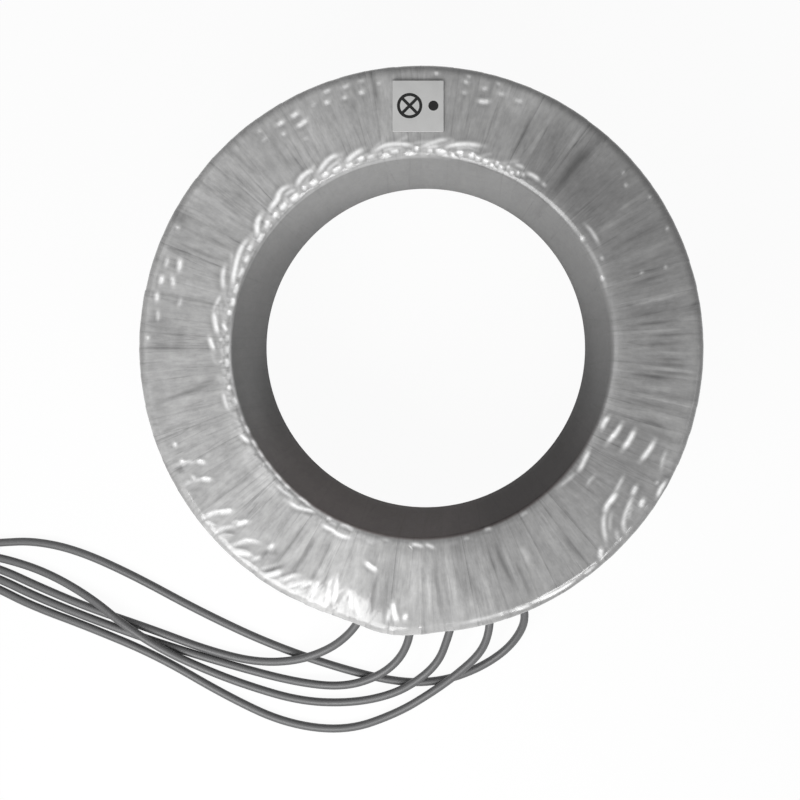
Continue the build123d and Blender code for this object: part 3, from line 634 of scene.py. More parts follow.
def tapeWrapTree():
    tree = bpy.data.node_groups.new("tape wrap", "GeometryNodeTree")
    given, outlet = groupInterface(tree, {
        "Section": ("Geometry", None), "Columns": ("Int", 400), "Rows": ("Int", 60),
        "Laps": ("Float", 60.0), "Lap Drift": ("Float", 0.0), "Lap Rise": ("Float", 0.0003),
        "Pleat Depth": ("Float", 0.0002), "Wave Depth": ("Float", 0.0004),
        "Gather Height": ("Float", 0.0005), "Rope Height": ("Float", 0.0005), "Seed": ("Int", 1),
        "Finish": ("Material", None),
    }, ["Geometry"])

    # the plain ring: one grid row for each point of the section
    grid = addNode(tree, "GeometryNodeMeshGrid", {
        "Size X": 1.0, "Size Y": 1.0,
        "Vertices X": given["Columns"] + 1.0, "Vertices Y": given["Rows"] + 1.0})
    gridX, gridY = splitVector(addField(tree, "GeometryNodeInputPosition"))[:2]
    row = ((gridY + 0.5) * given["Rows"]).op("ROUND").op("FLOORED_MODULO", given["Rows"]) + 0.25
    sample = addNode(tree, "GeometryNodeSampleIndex", {
        "Geometry": given["Section"], "Value": addField(tree, "GeometryNodeInputPosition"), "Index": row},
        data_type="FLOAT_VECTOR", domain="POINT")
    radius, flat, level = splitVector(Field(sample.outputs["Value"]))
    angle = gridX * fullTurn
    ring = addNode(tree, "GeometryNodeSetPosition", {
        "Geometry": grid.outputs["Mesh"],
        "Position": joinVector(radius * angle.op("COSINE"), radius * angle.op("SINE"), level)})
    closed = addNode(tree, "GeometryNodeMergeByDistance", {
        "Geometry": ring.outputs[0], "Distance": 0.00001})

    # where a point is: its angle, its lap, and its way across the section
    x, y, z = splitVector(addField(tree, "GeometryNodeInputPosition"))
    radius = (x * x + y * y).op("SQRT")
    angle = y.op("ARCTAN2", x)
    turns = tapeTurns(angle, given["Laps"], given["Lap Drift"])
    top = ringHigh.z - wrapSet["lapRise"]
    across = (radius - boreRadius) - (z * -1.0 + top)
    upper = smooth(z, top * 0.55, top * 0.75)
    outside = smooth(radius, boreRadius + 3 * mm, boreRadius + 9 * mm)
    offFloor = smooth(z, 1 * mm, 8 * mm)
    draw = chance(turns.op("FLOOR") + given["Seed"] * 5.0)
    rise = turns.op("FRACT") * given["Lap Rise"] * (draw * draw * 0.85 + 0.15)

    # pleats run across the tape's turns, and slow waves lift and sink the film
    heading = [x / radius, y / radius]

    seedShift = given["Seed"] * 3.7
    pleat = None
    for perTurn, alongRate, shift, share in wrapSet["pleats"]:
        vector = joinVector(heading[0] * perTurn, heading[1] * perTurn,
                            (radius - z) * alongRate + (seedShift + shift))
        part = noise(vector, 1.0) * share
        pleat = part if pleat is None else pleat + part
    wave = noise(joinVector(x, y, z + seedShift), wrapSet["waves"], 1.0)
    wobble = noise(joinVector(heading[0] * 9.0, heading[1] * 9.0, seedShift), 1.0, 1.0)

    # gathers: crescents that lean over one another, and a rope of short folds on the bore's edge
    loose = turns + wobble * 1.2
    gathers = []
    for name, rows in wrapSet["gathers"].items():
        folded = None
        for perLap, offset, span, start, reach, width, strength in rows:
            seed = given["Seed"] + 10.0 * start + perLap
            row = foldRow(loose, across, perLap, offset, span, start * mm, reach * mm, width * mm, seed)
            row = row * strength
            folded = row if folded is None else folded.op("MAXIMUM", row)
        gathers.append(folded * aroundCurve(angle, wrapSet[name]))
    crescents, rope = gathers
    bunched = smooth(across, -2.5 * mm, 0.5 * mm) * (1.0 - smooth(across, 3 * mm, 8 * mm))
    gatherPaleness = bunched * aroundCurve(angle, wrapSet["rope"]) * wrapSet["gatherPaleness"]
    # the crease attribute holds the film's whitened creases and painted glints along the gathers
    creaseAndPaintedGlint = crescents.op("MAXIMUM", rope).op("MAXIMUM", gatherPaleness) * upper
    gather = crescents * given["Gather Height"] + rope * given["Rope Height"]
    # the furrow attribute marks where shade is painted into the film between the gathers
    furrow = aroundCurve(angle, wrapSet["crescents"]) * (1.0 - creaseAndPaintedGlint * 1.5).op("MAXIMUM", 0.0)
    furrow = furrow * smooth(across, 3 * mm, 4.5 * mm) * (1.0 - smooth(across, 6 * mm, 10 * mm))

    bulge = hill(angle, *wrapSet["swell"]) + hill(angle, *wrapSet["lump"])
    bulge = bulge * smooth(radius, boreRadius + 20 * mm, ringHigh.x - 4 * mm)
    slack = hill(angle, *wrapSet["droop"])
    slope = smooth(radius + wobble * 10 * mm, ringHigh.x - 17 * mm, ringHigh.x - 1 * mm)
    slope = slope * smooth(z, top * 0.4, top * 0.8)
    turned = angle + (radius - boreRadius) * wrapSet["slackLean"]
    around = [turned.op(side) * wrapSet["slackPleats"] for side in ("COSINE", "SINE")]
    slanted = noise(joinVector(*around, radius * 25.0 + seedShift), 1.0, 2.0)
    slanted = (slanted + 0.08).op("MAXIMUM", -0.12) * slack * (1 / wrapSet["droop"][1])
    slanted = slanted * smooth(radius, 116 * mm, 130 * mm)
    film = pleat * given["Pleat Depth"] * (outside * 0.9 + 0.1) + slanted * wrapSet["slackDepth"]
    wall = smooth(radius, ringHigh.x - 6 * mm, ringHigh.x - 1 * mm)
    film = film + wave * given["Wave Depth"] * outside * (1.0 - wall * 0.75)
    sunk = (film - given["Pleat Depth"] * 0.3).op("MINIMUM", 0.0)      # the outer wall only sinks
    film = film + (sunk - film) * wall
    film = (film * upper + sunk * (1.0 - upper) * outside) * offFloor
    lift = rise * (offFloor * outside) + film + gather * upper
    floorLift = rise.op("MINIMUM", wrapSet["base"]) * (1.0 - offFloor) * outside
    along = addField(tree, "GeometryNodeInputNormal").vectorOp("SCALE", "Scale", lift + floorLift)
    push = joinVector(heading[0] * bulge, heading[1] * bulge, slope * slack * -1.0)
    shaped = addNode(tree, "GeometryNodeSetPosition", {
        "Geometry": closed.outputs[0], "Offset": along.vectorOp("ADD", 1, push)})
    marked = shaped
    for name, value in (("creaseAndPaintedGlint", creaseAndPaintedGlint), ("furrow", furrow)):
        marked = addNode(tree, "GeometryNodeStoreNamedAttribute", {
            "Geometry": marked.outputs[0], "Name": name, "Value": value}, data_type="FLOAT", domain="POINT")
    rounded = addNode(tree, "GeometryNodeSetShadeSmooth", {"Geometry": marked.outputs[0]})
    realized = addNode(tree, "GeometryNodeRealizeInstances", {"Geometry": rounded.outputs[0]})
    dressed = addNode(tree, "GeometryNodeSetMaterial", {
        "Geometry": realized.outputs[0], "Material": given["Finish"]})
    feed(dressed.outputs[0], outlet.inputs[0])
    return tree


def setInputs(modifier, values):                   # by the sockets' identifiers
    for item in modifier.node_group.interface.items_tree:
        if item.item_type == "SOCKET" and item.in_out == "INPUT" and item.name in values:
            modifier[item.identifier] = values[item.name]


def plainMesh(source, name):                       # the evaluated object as a mesh of its own
    bpy.context.view_layer.update()
    evaluated = source.evaluated_get(bpy.context.evaluated_depsgraph_get())
    mesh = bpy.data.meshes.new_from_object(evaluated)
    mesh.name = name
    bpy.data.objects.remove(source)
    return addObject(name, mesh)


def readValues(items, field, width=1):             # one value, or one row of values, for each item
    values = np.empty(len(items) * width, np.float32)
    items.foreach_get(field, values)
    return values if width == 1 else values.reshape(-1, width)


def readPoints(mesh):
    return readValues(mesh.attributes["position"].data, "vector", 3).astype(float)


def roundOff(line, times=2):                       # cuts a line's corners, keeping its ends
    for turn in range(times):
        cuts = np.stack([line[:-1] * 0.75 + line[1:] * 0.25, line[:-1] * 0.25 + line[1:] * 0.75], axis=1)
        line = np.concatenate([line[:1], cuts.reshape(-1, 2)[1:-1], line[-1:]])
    return line


def facePlace(angle, radius):                      # a place on the top face, radius in mm
    return outwards(angle, radius * mm)[:2] + np.array(foldSet["middle"])


def foldLines():                                   # (strength, points) for each fold and dash
    for strength, places in folds:
        yield strength, roundOff(np.array([facePlace(*place) for place in places]))
    for angle, radius, sweep, climb, strength in dashes:
        ends = np.array([facePlace(angle, radius), facePlace(angle - sweep, radius + climb)])
        across = (ends[1] - ends[0])[::-1] * (1, -1) * foldSet["bow"] * (-1 if sweep > 0 else 1)
        yield strength, np.array([ends[0], ends.mean(0) - across, ends[1]])


def measureFold(points, line):     # how far each point is from a line, and how far along it the nearest place
    steps = np.diff(line, axis=0)
    lengths = np.hypot(*steps.T)
    before = np.concatenate([[0], np.cumsum(lengths)[:-1]])
    offset = points[:, None, :] - line[None, :-1, :]
    share = np.clip((offset * steps).sum(2) / lengths ** 2, 0, 1)
    gaps = np.linalg.norm(offset - share[..., None] * steps, axis=2)
    nearest = gaps.argmin(1)
    rows = np.arange(len(points))
    return gaps[rows, nearest], (before[nearest] + share[rows, nearest] * lengths[nearest]) / lengths.sum()


def pressFolds(mesh):                              # gives back the painted shade beside each fold and between the gathers, and paints each fold's whitened crease and glint
    points = readPoints(mesh)
    normals = readValues(mesh.vertices, "normal", 3)
    creaseAndPaintedGlint, furrow = (readValues(mesh.attributes[name].data, "value") for name in ("creaseAndPaintedGlint", "furrow"))
    shade = furrow * foldSet["furrowShade"]
    nearBore, boreDepth, faceDepth = foldSet["innerReach"]
    depth = np.where(np.hypot(points[:, 0], points[:, 1]) < boreRadius + nearBore, boreDepth, faceDepth)
    fade = np.clip((points[:, 2] - ringHigh.z + depth) / (foldSet["fadeShare"] * depth), 0, 1)
    slim, full = foldSet["width"]
    crestShare, troughShare, furrowShare = foldSet["profile"]
    for strength, line in foldLines():
        reach = np.hypot(*(line - line.mean(0)).T).max() + 4 * mm
        near = np.flatnonzero((fade > 0) & (np.hypot(*(points[:, :2] - line.mean(0)).T) < reach))
        gap, part = measureFold(points[near, :2], line)
        gap = gap / (slim + (full - slim) * abs(strength))
        ends = np.clip(np.sin(np.pi * np.clip(part, 0.05, 0.95)) * foldSet["taper"], 0, 1) * fade[near]
        crest = np.exp(-gap ** 2) * ends
        trough = np.exp(-(gap / foldSet["troughWidth"]) ** 2) * ends
        rise = crest * crestShare - trough * troughShare if strength > 0 else crest * furrowShare
        points[near] += normals[near] * (rise * foldSet["height"] * strength)[:, None]
        slit = creaseAndPaintedGlint[near] * (1 + min(strength, 0) * crest)
        creaseAndPaintedGlint[near] = np.maximum(slit, crest * strength * foldSet["shine"])
        shade[near] = np.maximum(shade[near], (trough - crest) * strength * foldSet["shade"])
        shade[near] = np.maximum(shade[near], -crest * strength * foldSet["slitShade"])
    mesh.attributes["position"].data.foreach_set("vector", points.astype(np.float32).ravel())
    mesh.attributes["creaseAndPaintedGlint"].data.foreach_set("value", creaseAndPaintedGlint)
    mesh.update()
    return shade


# paints into the colour the tape's tone with painted light and shade by angle, the painted shadow at the
# bore's edge, the stains with painted light and shade, and the painted shade beside the folds
def paintToneAndLight(mesh, shade):
    points = readPoints(mesh)
    angle = np.degrees(np.arctan2(points[:, 1], points[:, 0]))
    radius = np.hypot(points[:, 0], points[:, 1]) / mm
    inBore = np.clip((boreRadius / mm + 2 - radius) / 2, 0, 1)
    toneAndPaintedLight, borePaintedShading = (np.interp(angle, *zip(*wrapSet[name])) for name in ("toneAndPaintedLight", "borePaintedShading"))
    toneAndPaintedLight = (toneAndPaintedLight + (borePaintedShading - toneAndPaintedLight) * inBore) * (1 - shade)
    middle, depth, width = wrapSet["boreShadow"]
    line = np.exp(-((radius - boreRadius / mm - width) / width) ** 2) * (points[:, 2] > ringHigh.z * 0.9)
    toneAndPaintedLight *= 1 - depth * line * np.clip(0.5 + np.cos(np.radians(angle - middle)), 0, 1)
    # stains, and painted light and shade, each darken or lighten the film by its depth
    for place, across, reachRound, reachAcross, depth in stainsAndPaintedLight:
        away = points[:, :2] - facePlace(place, across)
        heading = outwards(place, 1)
        along, aside = away @ heading[:2], away @ np.array((-heading.y, heading.x))
        spot = np.exp(-(aside / (reachRound * mm)) ** 2 - (along / (reachAcross * mm)) ** 2)
        toneAndPaintedLight *= 1 - depth * spot * (points[:, 2] > ringHigh.z / 2)
    mesh.attributes.new("toneAndPaintedLight", "FLOAT", "POINT").data.foreach_set("value", toneAndPaintedLight.astype(np.float32))


def makeWrap(finish):
    section = tapeSection()
    data = addCurve("tape_section")
    addSpline(data, "POLY", [(radius, 0, z) for radius, z in section], closed=True)
    source = addObject("tape_section", data)
    modifier = source.modifiers.new("tape wrap", "NODES")
    modifier.node_group = tapeWrapTree()
    setInputs(modifier, {
        "Columns": wrapSet["columns"], "Rows": len(section), "Laps": float(wrapSet["laps"]),
        "Lap Drift": math.radians(wrapSet["lapDrift"]), "Lap Rise": wrapSet["lapRise"],
        "Pleat Depth": wrapSet["pleatDepth"], "Wave Depth": wrapSet["waveDepth"],
        "Gather Height": wrapSet["gatherHeight"], "Rope Height": wrapSet["ropeHeight"],
        "Seed": wrapSet["seed"], "Finish": finish})
    wrap = plainMesh(source, "outer_tape_wrap_film")
    paintToneAndLight(wrap.data, pressFolds(wrap.data))
    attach(wrap, "root")
    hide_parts("outer_tape_wrap")


# Tape grain, for every wound layer: fine and broad streaks that run along each turn, blots,
# a tone of its own for each lap, and the height of the streaks
def grainGroup():
    tree = bpy.data.node_groups.new("tape grain", "ShaderNodeTree")
    given, outlet = groupInterface(tree, {
        "Vector": ("Vector", None), "Laps": ("Float", 60.0), "Lap Drift": ("Float", 0.0157),
        "Fine Streaks": ("Float", 9.0), "Broad Streaks": ("Float", 2.5), "Lean": ("Float", 18.0),
        "Edges": ("Float", 1.0),
    }, ["Fine", "Broad", "Blots", "Lap Tone", "Lap Edge", "Lines", "Height", "Lap Place"])
    x, y, z = splitVector(given["Vector"])
    radius = (x * x + y * y).op("SQRT")
    turns = tapeTurns(y.op("ARCTAN2", x), given["Laps"], given["Lap Drift"])
    number = turns.op("FLOOR")
    draw = chance(number + 3.0)
    along = radius - z
    leaning = turns + (draw - 0.5) * given["Lean"] * along

    def streaks(perLap, alongRate, detail):
        return noise(joinVector(leaning * perLap, along * alongRate, number * 7.31),
                     1.0, detail, 0.65)

    fine = streaks(given["Fine Streaks"], 170.0, 2.0)
    broad = streaks(given["Broad Streaks"], 55.0, 2.0)
    edges = leaning * given["Edges"]
    patches = smooth(streaks(1.2, 30.0, 1.0), -0.05, 0.15)
    edge = (1.0 - smooth(edges.op("FRACT"), 0.0, 0.2)) * chance(edges.op("FLOOR") + 91.0)
    edge = edge * (patches * 0.6 + 0.4)
    lines = 1.0 - smooth(streaks(2.2, 14.0, 1.0).op("ABSOLUTE"), 0.0, 0.035)
    for name, value in {
            "Fine": fine, "Broad": broad, "Lines": lines * patches, "Lap Edge": edge, "Lap Tone": draw,
            "Blots": noise(given["Vector"], 260.0, 4.0, 0.65),
            "Height": fine * 0.6 + broad, "Lap Place": turns.op("FRACT")}.items():
        feed(value, outlet.inputs[name])
    return tree


def newMaterial(name, roughness, settings):
    material = bpy.data.materials.new(name)
    material.use_nodes = True
    tree = material.node_tree
    shader = tree.nodes["Principled BSDF"]
    shader.inputs["Roughness"].default_value = roughness
    for label, value in settings.items():
        if label[0].isupper():             # the shader's own names; the rest are this script's
            shader.inputs[label].default_value = value
    return material, tree, shader


def finishNodes(name, roughness, settings):        # the same with Object coordinates
    material, tree, shader = newMaterial(name, roughness, settings)
    return material, tree, shader, addField(tree, "ShaderNodeTexCoord", "Object")


def mixColours(share, first, second):
    return share.node("ShaderNodeMix", {0: share, 6: first, 7: second}, 2, data_type="RGBA")


def paint(shader, share, colour, levels):    # a colour that varies between two levels of itself
    dark, light = ((*(part * level for part in colour), 1) for level in levels)
    feed(mixColours(share.clamped(), dark, light), shader.inputs["Base Color"])


def grey(value, warmth=0.0):
    return (value * (1 + warmth), value, value * (1 - warmth), 1.0)


def bump(shader, height, distance):
    relief = height.node("ShaderNodeBump", {"Height": height, "Strength": 1.0, "Distance": distance})
    feed(relief, shader.inputs["Normal"])


filmSet = {
    # the third colour is the white of whitened creases and painted glints
    "dark": grey(0.16), "light": grey(0.54, 0.004), "creaseAndGlintWhite": grey(0.98),
    "fineContrast": 0.36, "broadContrast": 0.60, "blotContrast": 0.40, "lapContrast": 0.12,
    "grain": {"Edges": 1.6, "Lean": 10.0},         # shadows of an edge for each lap, and how they lean
    "edgeShade": 0.40,             # how dark they are
    "lineShade": 0.16,
    "edgeOfBore": (0.3 * mm, 2 * mm),      # its wall's finish ends between these distances
    # on the outer wall: where it starts, the painted shadow at the laps' seams, their own tones, the painted
    # shading down their slopes, calmer streaks, more edges
    "wallStart": (4 * mm, 1.5 * mm),
    "wallSeamShadow": 0.13, "wallLaps": 0.08, "wallSlopeShading": 0.20, "wallCalm": 0.35, "wallEdges": 0.4,
    "creaseAndGlintShare": 1.0, "creaseAndGlintMottle": 0.9,
    "grainDepth": 0.15 * mm,
    "roughness": (0.85, 0.42), "gloss": (0.05, 1.0),       # in the bore, and on the rest
    "boreShade": 0.88,
    "boreTint": (1.09, 0.975, 0.96),       # of the bore's wall on the lead side
}


def filmFinish(grain):
    material, tree, shader, place = finishNodes(
        "wrinkled film over fibre tape", 0.42, {"Coat Roughness": 0.19, "Specular IOR Level": 0.1})
    streaks = useGroup(tree, grain, {"Vector": place, **filmSet["grain"]})
    # the first attribute carries the tape's tone with painted light and shade, stains and the painted shade
    # beside the folds; the second, whitened creases and painted glints
    toneAndPaintedLight, creaseAndPaintedGlint = (addField(tree, "ShaderNodeAttribute", "Fac", attribute_name=name)
                    for name in ("toneAndPaintedLight", "creaseAndPaintedGlint"))
    x, y, z = splitVector(place)
    radius = (x * x + y * y).op("SQRT")
    clear = smooth(radius, *(boreRadius + reach for reach in filmSet["edgeOfBore"]))     # 0 on its wall
    onWall = smooth(radius, *(ringHigh.x - reach for reach in filmSet["wallStart"]))
    lapTone, lapPlace = streaks["Lap Tone"] - 0.5, streaks["Lap Place"]
    marks = streaks["Fine"] * filmSet["fineContrast"] + streaks["Broad"] * filmSet["broadContrast"]
    marks = marks + streaks["Blots"] * filmSet["blotContrast"] + lapTone * filmSet["lapContrast"]
    # on the outer wall each lap gets a painted shadow at its seam and painted shading from its proud edge
    # down to the next lap
    seam = (1.0 - smooth(lapPlace, 0.0, 0.12)) * filmSet["wallSeamShadow"]
    laps = lapTone * filmSet["wallLaps"] + (lapPlace - 0.5) * filmSet["wallSlopeShading"] - seam
    marks = marks * (1.0 - onWall * filmSet["wallCalm"]) + onWall * laps
    marks = marks - streaks["Lines"] * filmSet["lineShade"]
    marks = marks - streaks["Lap Edge"] * (onWall * filmSet["wallEdges"] + 1.0) * filmSet["edgeShade"]
    share = (marks * (clear * 0.7 + 0.3) + 0.5).clamped()
    base = mixColours(share, filmSet["dark"], filmSet["light"])
    shade = clear * (1 - filmSet["boreShade"]) + filmSet["boreShade"]
    toned = base.vectorOp("SCALE", "Scale", toneAndPaintedLight * shade)
    leadSide = (1.0 - clear) * (1.0 - smooth(y / radius, -0.9, -0.2))
    tint = mixColours(leadSide, (1, 1, 1, 1), (*filmSet["boreTint"], 1))
    toned = toned.vectorOp("MULTIPLY", 1, tint)
    # whitened creases and painted glints turn the colour pale
    pale = creaseAndPaintedGlint.op("MINIMUM", 1.0) * (streaks["Blots"] * filmSet["creaseAndGlintMottle"] + filmSet["creaseAndGlintShare"])
    colour = mixColours(pale.op("MAXIMUM", 0.0), toned, filmSet["creaseAndGlintWhite"])
    feed(colour, shader.inputs["Base Color"])
    for label, name in (("Roughness", "roughness"), ("Coat Weight", "gloss")):
        inBore, elsewhere = filmSet[name]
        feed(clear * (elsewhere - inBore) + inBore, shader.inputs[label])
    bump(shader, streaks["Height"] * (clear * 0.8 + 0.2), filmSet["grainDepth"])
    return material


# Specks, clouds and short fibres, for everything that isn't wound
def fibreGroup():
    tree = bpy.data.node_groups.new("fibres and specks", "ShaderNodeTree")
    given, outlet = groupInterface(tree, {
        "Vector": ("Vector", None), "Speck Size": ("Float", 0.6 * mm), "Cloud Size": ("Float", 12 * mm),
        "Stretch": ("Float", 1.0),
    }, ["Specks", "Clouds", "Fibres"])
    x, y, z = splitVector(given["Vector"])
    perSpeck = 1.0 / given["Speck Size"]
    long = perSpeck / given["Stretch"]
    first = noise(joinVector(x * long, y * perSpeck, z * perSpeck), 1.0, 1.0)
    second = noise(joinVector(x * perSpeck, y * long, z * perSpeck), 1.0, 1.0)
    feed(noise(given["Vector"], perSpeck, 2.0), outlet.inputs["Specks"])
    feed(noise(given["Vector"], 1.0 / given["Cloud Size"], 3.0), outlet.inputs["Clouds"])
    feed(first.op("MAXIMUM", second), outlet.inputs["Fibres"])
    return tree


# Plastic, nylon, rubber, felt, board and metal: one colour that varies, with a fine relief
bodyFinishes = {
    "lead insulation": {
        "colour": (0.082, 0.082, 0.084), "roughness": (0.42, 0.55), "speck": 0.5 * mm, "cloud": 25 * mm,
        "stretch": 1.0, "contrast": (0.25, 0.35, 0.0), "depth": 0.02 * mm,
        "Coat Weight": 0.25, "Coat Roughness": 0.45},
    "braided sleeving": {
        "colour": (0.16, 0.16, 0.165), "roughness": (0.6, 0.8), "speck": 0.45 * mm, "cloud": 8 * mm,
        "stretch": 5.0, "contrast": (0.3, 0.3, 0.9), "depth": 0.08 * mm},
    "tie nylon": {
        "colour": (0.78, 0.78, 0.74), "roughness": (0.35, 0.5), "speck": 0.4 * mm, "cloud": 5 * mm,
        "stretch": 3.0, "contrast": (0.08, 0.2, 0.1), "depth": 0.02 * mm},
    "tinned copper": {
        "colour": (0.72, 0.72, 0.70), "roughness": (0.25, 0.45), "speck": 0.3 * mm, "cloud": 3 * mm,
        "stretch": 8.0, "contrast": (0.1, 0.35, 0.3), "depth": 0.02 * mm, "Metallic": 1.0},
    "packing felt": {
        "colour": (0.74, 0.70, 0.60), "roughness": (0.9, 1.0), "speck": 0.5 * mm, "cloud": 14 * mm,
        "stretch": 9.0, "contrast": (0.25, 0.3, 0.7), "depth": 0.35 * mm, "Sheen Weight": 0.3},
    "pressboard": {
        "colour": (0.56, 0.44, 0.28), "roughness": (0.75, 0.9), "speck": 0.35 * mm, "cloud": 20 * mm,
        "stretch": 12.0, "contrast": (0.2, 0.3, 0.5), "depth": 0.05 * mm},
    "label plate": {
        "colour": (0.62, 0.62, 0.615), "roughness": (0.4, 0.55), "speck": 0.25 * mm, "cloud": 9 * mm,
        "stretch": 6.0, "contrast": (0.10, 0.22, 0.06), "depth": 0.01 * mm},
    "label ink": {
        "colour": (0.022, 0.022, 0.022), "roughness": (0.45, 0.6), "speck": 0.25 * mm, "cloud": 3 * mm,
        "stretch": 1.0, "contrast": (0.6, 0.6, 0.0), "depth": 0.01 * mm, "Specular IOR Level": 0.15},
}


def bodyFinish(name, fibres):
    given = bodyFinishes[name]
    material, tree, shader, place = finishNodes(name, given["roughness"][0], given)
    marks = useGroup(tree, fibres, {"Vector": place, "Speck Size": given["speck"],
                                    "Cloud Size": given["cloud"], "Stretch": given["stretch"]})
    specks, clouds, threads = marks.values()
    specky, cloudy, thready = given["contrast"]
    share = specks * specky + clouds * cloudy + threads * thready
    paint(shader, share + 0.5, given["colour"], (0.5, 1.5))
    smoothest, roughest = given["roughness"]
    feed(clouds * (roughest - smoothest) * 2.0 + (smoothest + roughest) / 2, shader.inputs["Roughness"])
    bump(shader, specks * 0.5 + threads, given["depth"])
    return material


# The wound layers under the outer wrap: tape or wire that runs round the section
windingFinishes = {
    "core tape": {"colour": (0.72, 0.66, 0.42), "laps": 72.0, "streaks": (6.0, 2.0), "roughness": 0.35,
                  "contrast": (0.15, 0.25, 0.3), "edge": 0.5, "depth": 0.10 * mm},
    "section film": {"colour": (0.78, 0.74, 0.58), "laps": 50.0, "streaks": (5.0, 2.0), "roughness": 0.25,
                     "contrast": (0.1, 0.2, 0.2), "edge": 0.4, "depth": 0.08 * mm},
    "enamelled copper": {"colour": (0.52, 0.22, 0.10), "laps": 300.0, "streaks": (1.0, 0.1), "roughness": 0.3,
                         "contrast": (0.3, 0.4, 0.5), "edge": 1.5, "depth": 0.4 * mm, "Metallic": 0.8},
}


def windingFinish(name, grain):
    given = windingFinishes[name]
    material, tree, shader, place = finishNodes(name, given["roughness"], given)
    fineRate, broadRate = given["streaks"]
    streaks = useGroup(tree, grain, {"Vector": place, "Laps": given["laps"], "Lean": 0.0,
                                     "Fine Streaks": fineRate, "Broad Streaks": broadRate})
    finely, broadly, byLap = given["contrast"]
    share = streaks["Fine"] * finely + streaks["Broad"] * broadly + (streaks["Lap Tone"] - 0.5) * byLap
    share = share - streaks["Lap Edge"] * given["edge"] + 0.5
    paint(shader, share, given["colour"], (0.45, 1.3))
    bump(shader, streaks["Height"] - streaks["Lap Edge"], given["depth"])
    return material


# The core: strip on edge, so its faces show fine rings
stripSet = {
    "colour": (0.45, 0.46, 0.48), "pitch": 0.6 * mm, "seam": 0.45, "roughness": 0.38, "depth": 0.03 * mm,
    "Metallic": 1.0,
}


def stripFinish(fibres):
    material, tree, shader, place = finishNodes("silicon steel strip", stripSet["roughness"], stripSet)
    x, y, z = splitVector(place)
    turn = (x * x + y * y).op("SQRT") / stripSet["pitch"]
    seam = 1.0 - smooth(turn.op("FRACT"), 0.0, 0.3)
    clouds = useGroup(tree, fibres, {"Vector": place, "Speck Size": 1 * mm})["Clouds"]
    share = clouds * 0.5 + chance(turn.op("FLOOR")) * 0.3 - seam * stripSet["seam"] + 0.6
    paint(shader, share, stripSet["colour"], (0.4, 1.2))
    bump(shader, 1.0 - seam, stripSet["depth"])
    return material


# The pieces that keep their own shape take a finish by the start of their name
def dressNodes(finishes):
    for name, node in frame["nodes"].items():
        start = next((start for start in finishes if name.startswith(start)), None)
        if start:
            for slot in node.material_slots:
                slot.material = finishes[start]


# The polarity label: a plate with a generic mark, a conductor seen end on and a polarity dot
labelSet = {
    "cornerRound": 0.5 * mm,
    "edgeRound": 0.15 * mm,
    "bevelSteps": 3,
    "ring": 6.3 * mm,              # outer radius
    "stroke": 1.5 * mm,
    "ringPlace": (-4.2 * mm, 0.2 * mm),    # from the plate's middle
    "dot": 2.5 * mm,
    "dotPlace": (7.6 * mm, 0.2 * mm),
    "inkRise": 0.03 * mm,
    "inkDepth": 0.2 * mm,
    "points": (48, 12, 32),        # round the ring, along each hole in it, round the dot
}


def arcPoints(middle, radius, count, first=0.0, sweep=fullTurn):
    steps = count if sweep == fullTurn else count - 1      # a whole circle doesn't repeat its first point
    turns = [first + sweep * step / steps for step in range(count)]
    return [(middle[0] + radius * math.cos(turn), middle[1] + radius * math.sin(turn), 0) for turn in turns]


def crossedRing(middle):           # a disc with four holes: what is left is a ring and a cross
    outer, inner = labelSet["ring"], labelSet["ring"] - labelSet["stroke"]
    half = labelSet["stroke"] / 2
    slack = math.asin(half / inner)
    roundSteps, holeSteps = labelSet["points"][:2]
    shapes = [arcPoints(middle, outer, roundSteps)]
    for quarter in range(4):
        start = math.radians(90 * quarter - 45)
        hole = arcPoints(middle, inner, holeSteps, start + slack, math.pi / 2 - 2 * slack)
        corner = arcPoints(middle, half * math.sqrt(2), 1, start + math.pi / 4)
        shapes.append(hole + corner)
    return shapes


def makeLabel(plateFinish, inkFinish):
    low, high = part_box("polarity_label")
    middle = (low + high) / 2
    shape = bmesh.new()
    bmesh.ops.create_cube(shape, size=1.0)
    for vertex in shape.verts:
        vertex.co = [middle[axis] + vertex.co[axis] * (high - low)[axis] for axis in range(3)]
    for amount, chosen in (
            (labelSet["cornerRound"], lambda edge: abs(edge.verts[0].co.z - edge.verts[1].co.z) > 0.1 * mm),
            (labelSet["edgeRound"], lambda edge: min(v.co.z for v in edge.verts) > high.z - 0.01 * mm)):
        bmesh.ops.bevel(shape, geom=[edge for edge in shape.edges if chosen(edge)], offset=amount,
                        segments=labelSet["bevelSteps"], profile=0.5, affect="EDGES")
    bmesh.ops.recalc_face_normals(shape, faces=shape.faces)
    mesh = bpy.data.meshes.new("polarity_label_plate")
    shape.to_mesh(mesh)
    shape.free()
    mesh.materials.append(plateFinish)
    plate = addObject(mesh.name, mesh)
    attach(plate, "root")
    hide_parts("polarity_label")

    data = addCurve("polarity_mark", "2D")
    data.fill_mode = "BOTH"
    data.extrude = (labelSet["inkRise"] + labelSet["inkDepth"]) / 2
    level = high.z + (labelSet["inkRise"] - labelSet["inkDepth"]) / 2
    ringMiddle, dotMiddle = ([middle[axis] + labelSet[name][axis] for axis in range(2)]
                             for name in ("ringPlace", "dotPlace"))
    for outline in [*crossedRing(ringMiddle), arcPoints(dotMiddle, labelSet["dot"], labelSet["points"][2])]:
        addSpline(data, "POLY", outline, closed=True)
    data.materials.append(inkFinish)
    mark = plainMesh(addObject("polarity_mark", data), "polarity_mark")
    mark.data.transform(Matrix.Translation((0, 0, level)))
    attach(mark, "root")


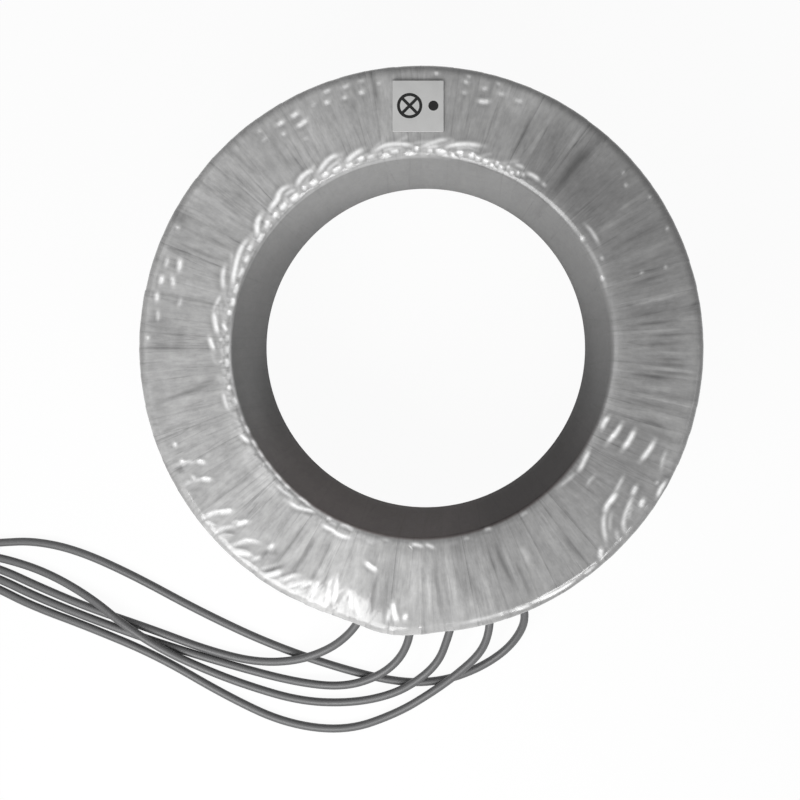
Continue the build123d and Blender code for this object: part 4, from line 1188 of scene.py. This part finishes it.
# Light: a strong soft lamp near by on the lead side, one at its right, a near fill at the left, a weak one
# at the right. Each stands in a direction from the ring: degrees round, degrees up.
lightSet = {
    "key": {"from": (-120, 42), "distance": 0.54, "size": 0.31, "power": 2.4},
    "frontRight": {"from": (-59, 42), "distance": 0.80, "size": 0.24, "power": 1.9},
    "left": {"from": (168, 50), "distance": 0.60, "size": 0.30, "power": 0.50},
    "right": {"from": (-12, 34), "distance": 1.00, "size": 0.26, "power": 0.2},
    "room": 0.13,
    "floorShade": 0.25,            # how pale the floor is as a reflector of light
    "floorGlow": 0.95,
    "floorHalf": 3.0,
    "floorDrop": 0.2 * mm,
}


def makeLights():
    middle = Vector((0, 0, ringHigh.z / 2))
    for name, lamp in lightSet.items():
        if not isinstance(lamp, dict):
            continue
        data = bpy.data.lights.new(name, "AREA")
        data.shape = "SQUARE"
        data.size = lamp["size"]
        data.energy = lamp["power"]
        light = addObject(name, data)
        side, up = (math.radians(angle) for angle in lamp["from"])
        away = Vector((math.cos(side) * math.cos(up), math.sin(side) * math.cos(up), math.sin(up)))
        light.location = middle + away * lamp["distance"]
        light.rotation_euler = (-away).to_track_quat("-Z", "Y").to_euler()
        light.visible_camera = False


def seenDirectly(tree):            # 1 for camera rays and for what gloss and glass show
    path = tree.nodes.new("ShaderNodeLightPath")
    camera, gloss, glass = (Field(path.outputs[f"Is {kind} Ray"])
                            for kind in ("Camera", "Glossy", "Transmission"))
    return camera.op("MAXIMUM", gloss).op("MAXIMUM", glass)


def makeRoom():
    world = bpy.data.worlds.new("room")
    world.use_nodes = True
    scene.world = world
    tree = world.node_tree
    background = tree.nodes["Background"]
    background.inputs["Color"].default_value = (1, 1, 1, 1)
    feed(seenDirectly(tree) * (1 - lightSet["room"]) + lightSet["room"], background.inputs["Strength"])


def makeFloor():
    material, tree, shader = newMaterial("white floor", 0.9, {"Specular IOR Level": 0.0})
    seen = seenDirectly(tree)
    feed(mixColours(seen, grey(lightSet["floorShade"]), grey(0.8)), shader.inputs["Base Color"])
    glow = addNode(tree, "ShaderNodeEmission", {"Strength": 1.0})
    mix = addNode(tree, "ShaderNodeMixShader", {
        0: seen * lightSet["floorGlow"], 1: shader.outputs[0], 2: glow.outputs[0]})
    feed(mix.outputs[0], tree.nodes["Material Output"].inputs["Surface"])
    mesh = bpy.data.meshes.new("floor")
    half = lightSet["floorHalf"]
    corners = [(-half, -half, 0), (half, -half, 0), (half, half, 0), (-half, half, 0)]
    mesh.from_pydata(corners, [], [(0, 1, 2, 3)])
    mesh.materials.append(material)
    floor = addObject("floor", mesh)
    floor.location.z = -lightSet["floorDrop"]


makeCamera()
makeLights()
makeRoom()
makeFloor()
print("stage ready")

fibres = fibreGroup()
tapeGrain = grainGroup()
board = bodyFinish("pressboard", fibres)
dressNodes({
    "lead_sleeve": bodyFinish("braided sleeving", fibres), "coil_tie": bodyFinish("tie nylon", fibres),
    "tap_ferrule": bodyFinish("tinned copper", fibres), "packing_band": bodyFinish("packing felt", fibres),
    "winding_section": windingFinish("enamelled copper", tapeGrain),
    "section_insulation": windingFinish("section film", tapeGrain),
    "core_wrap": windingFinish("core tape", tapeGrain), "core_edge_ring": board,
    "core_inner_collar": board, "core_outer_collar": board, "core": stripFinish(fibres)})
print("inner pieces dressed")

makeLeads(bodyFinish("lead insulation", fibres))
print("leads laid")

makeWrap(filmFinish(tapeGrain))
print("tape wound")

makeLabel(bodyFinish("label plate", fibres), bodyFinish("label ink", fibres))
print("label set")

scene.view_settings.view_transform = "Standard"
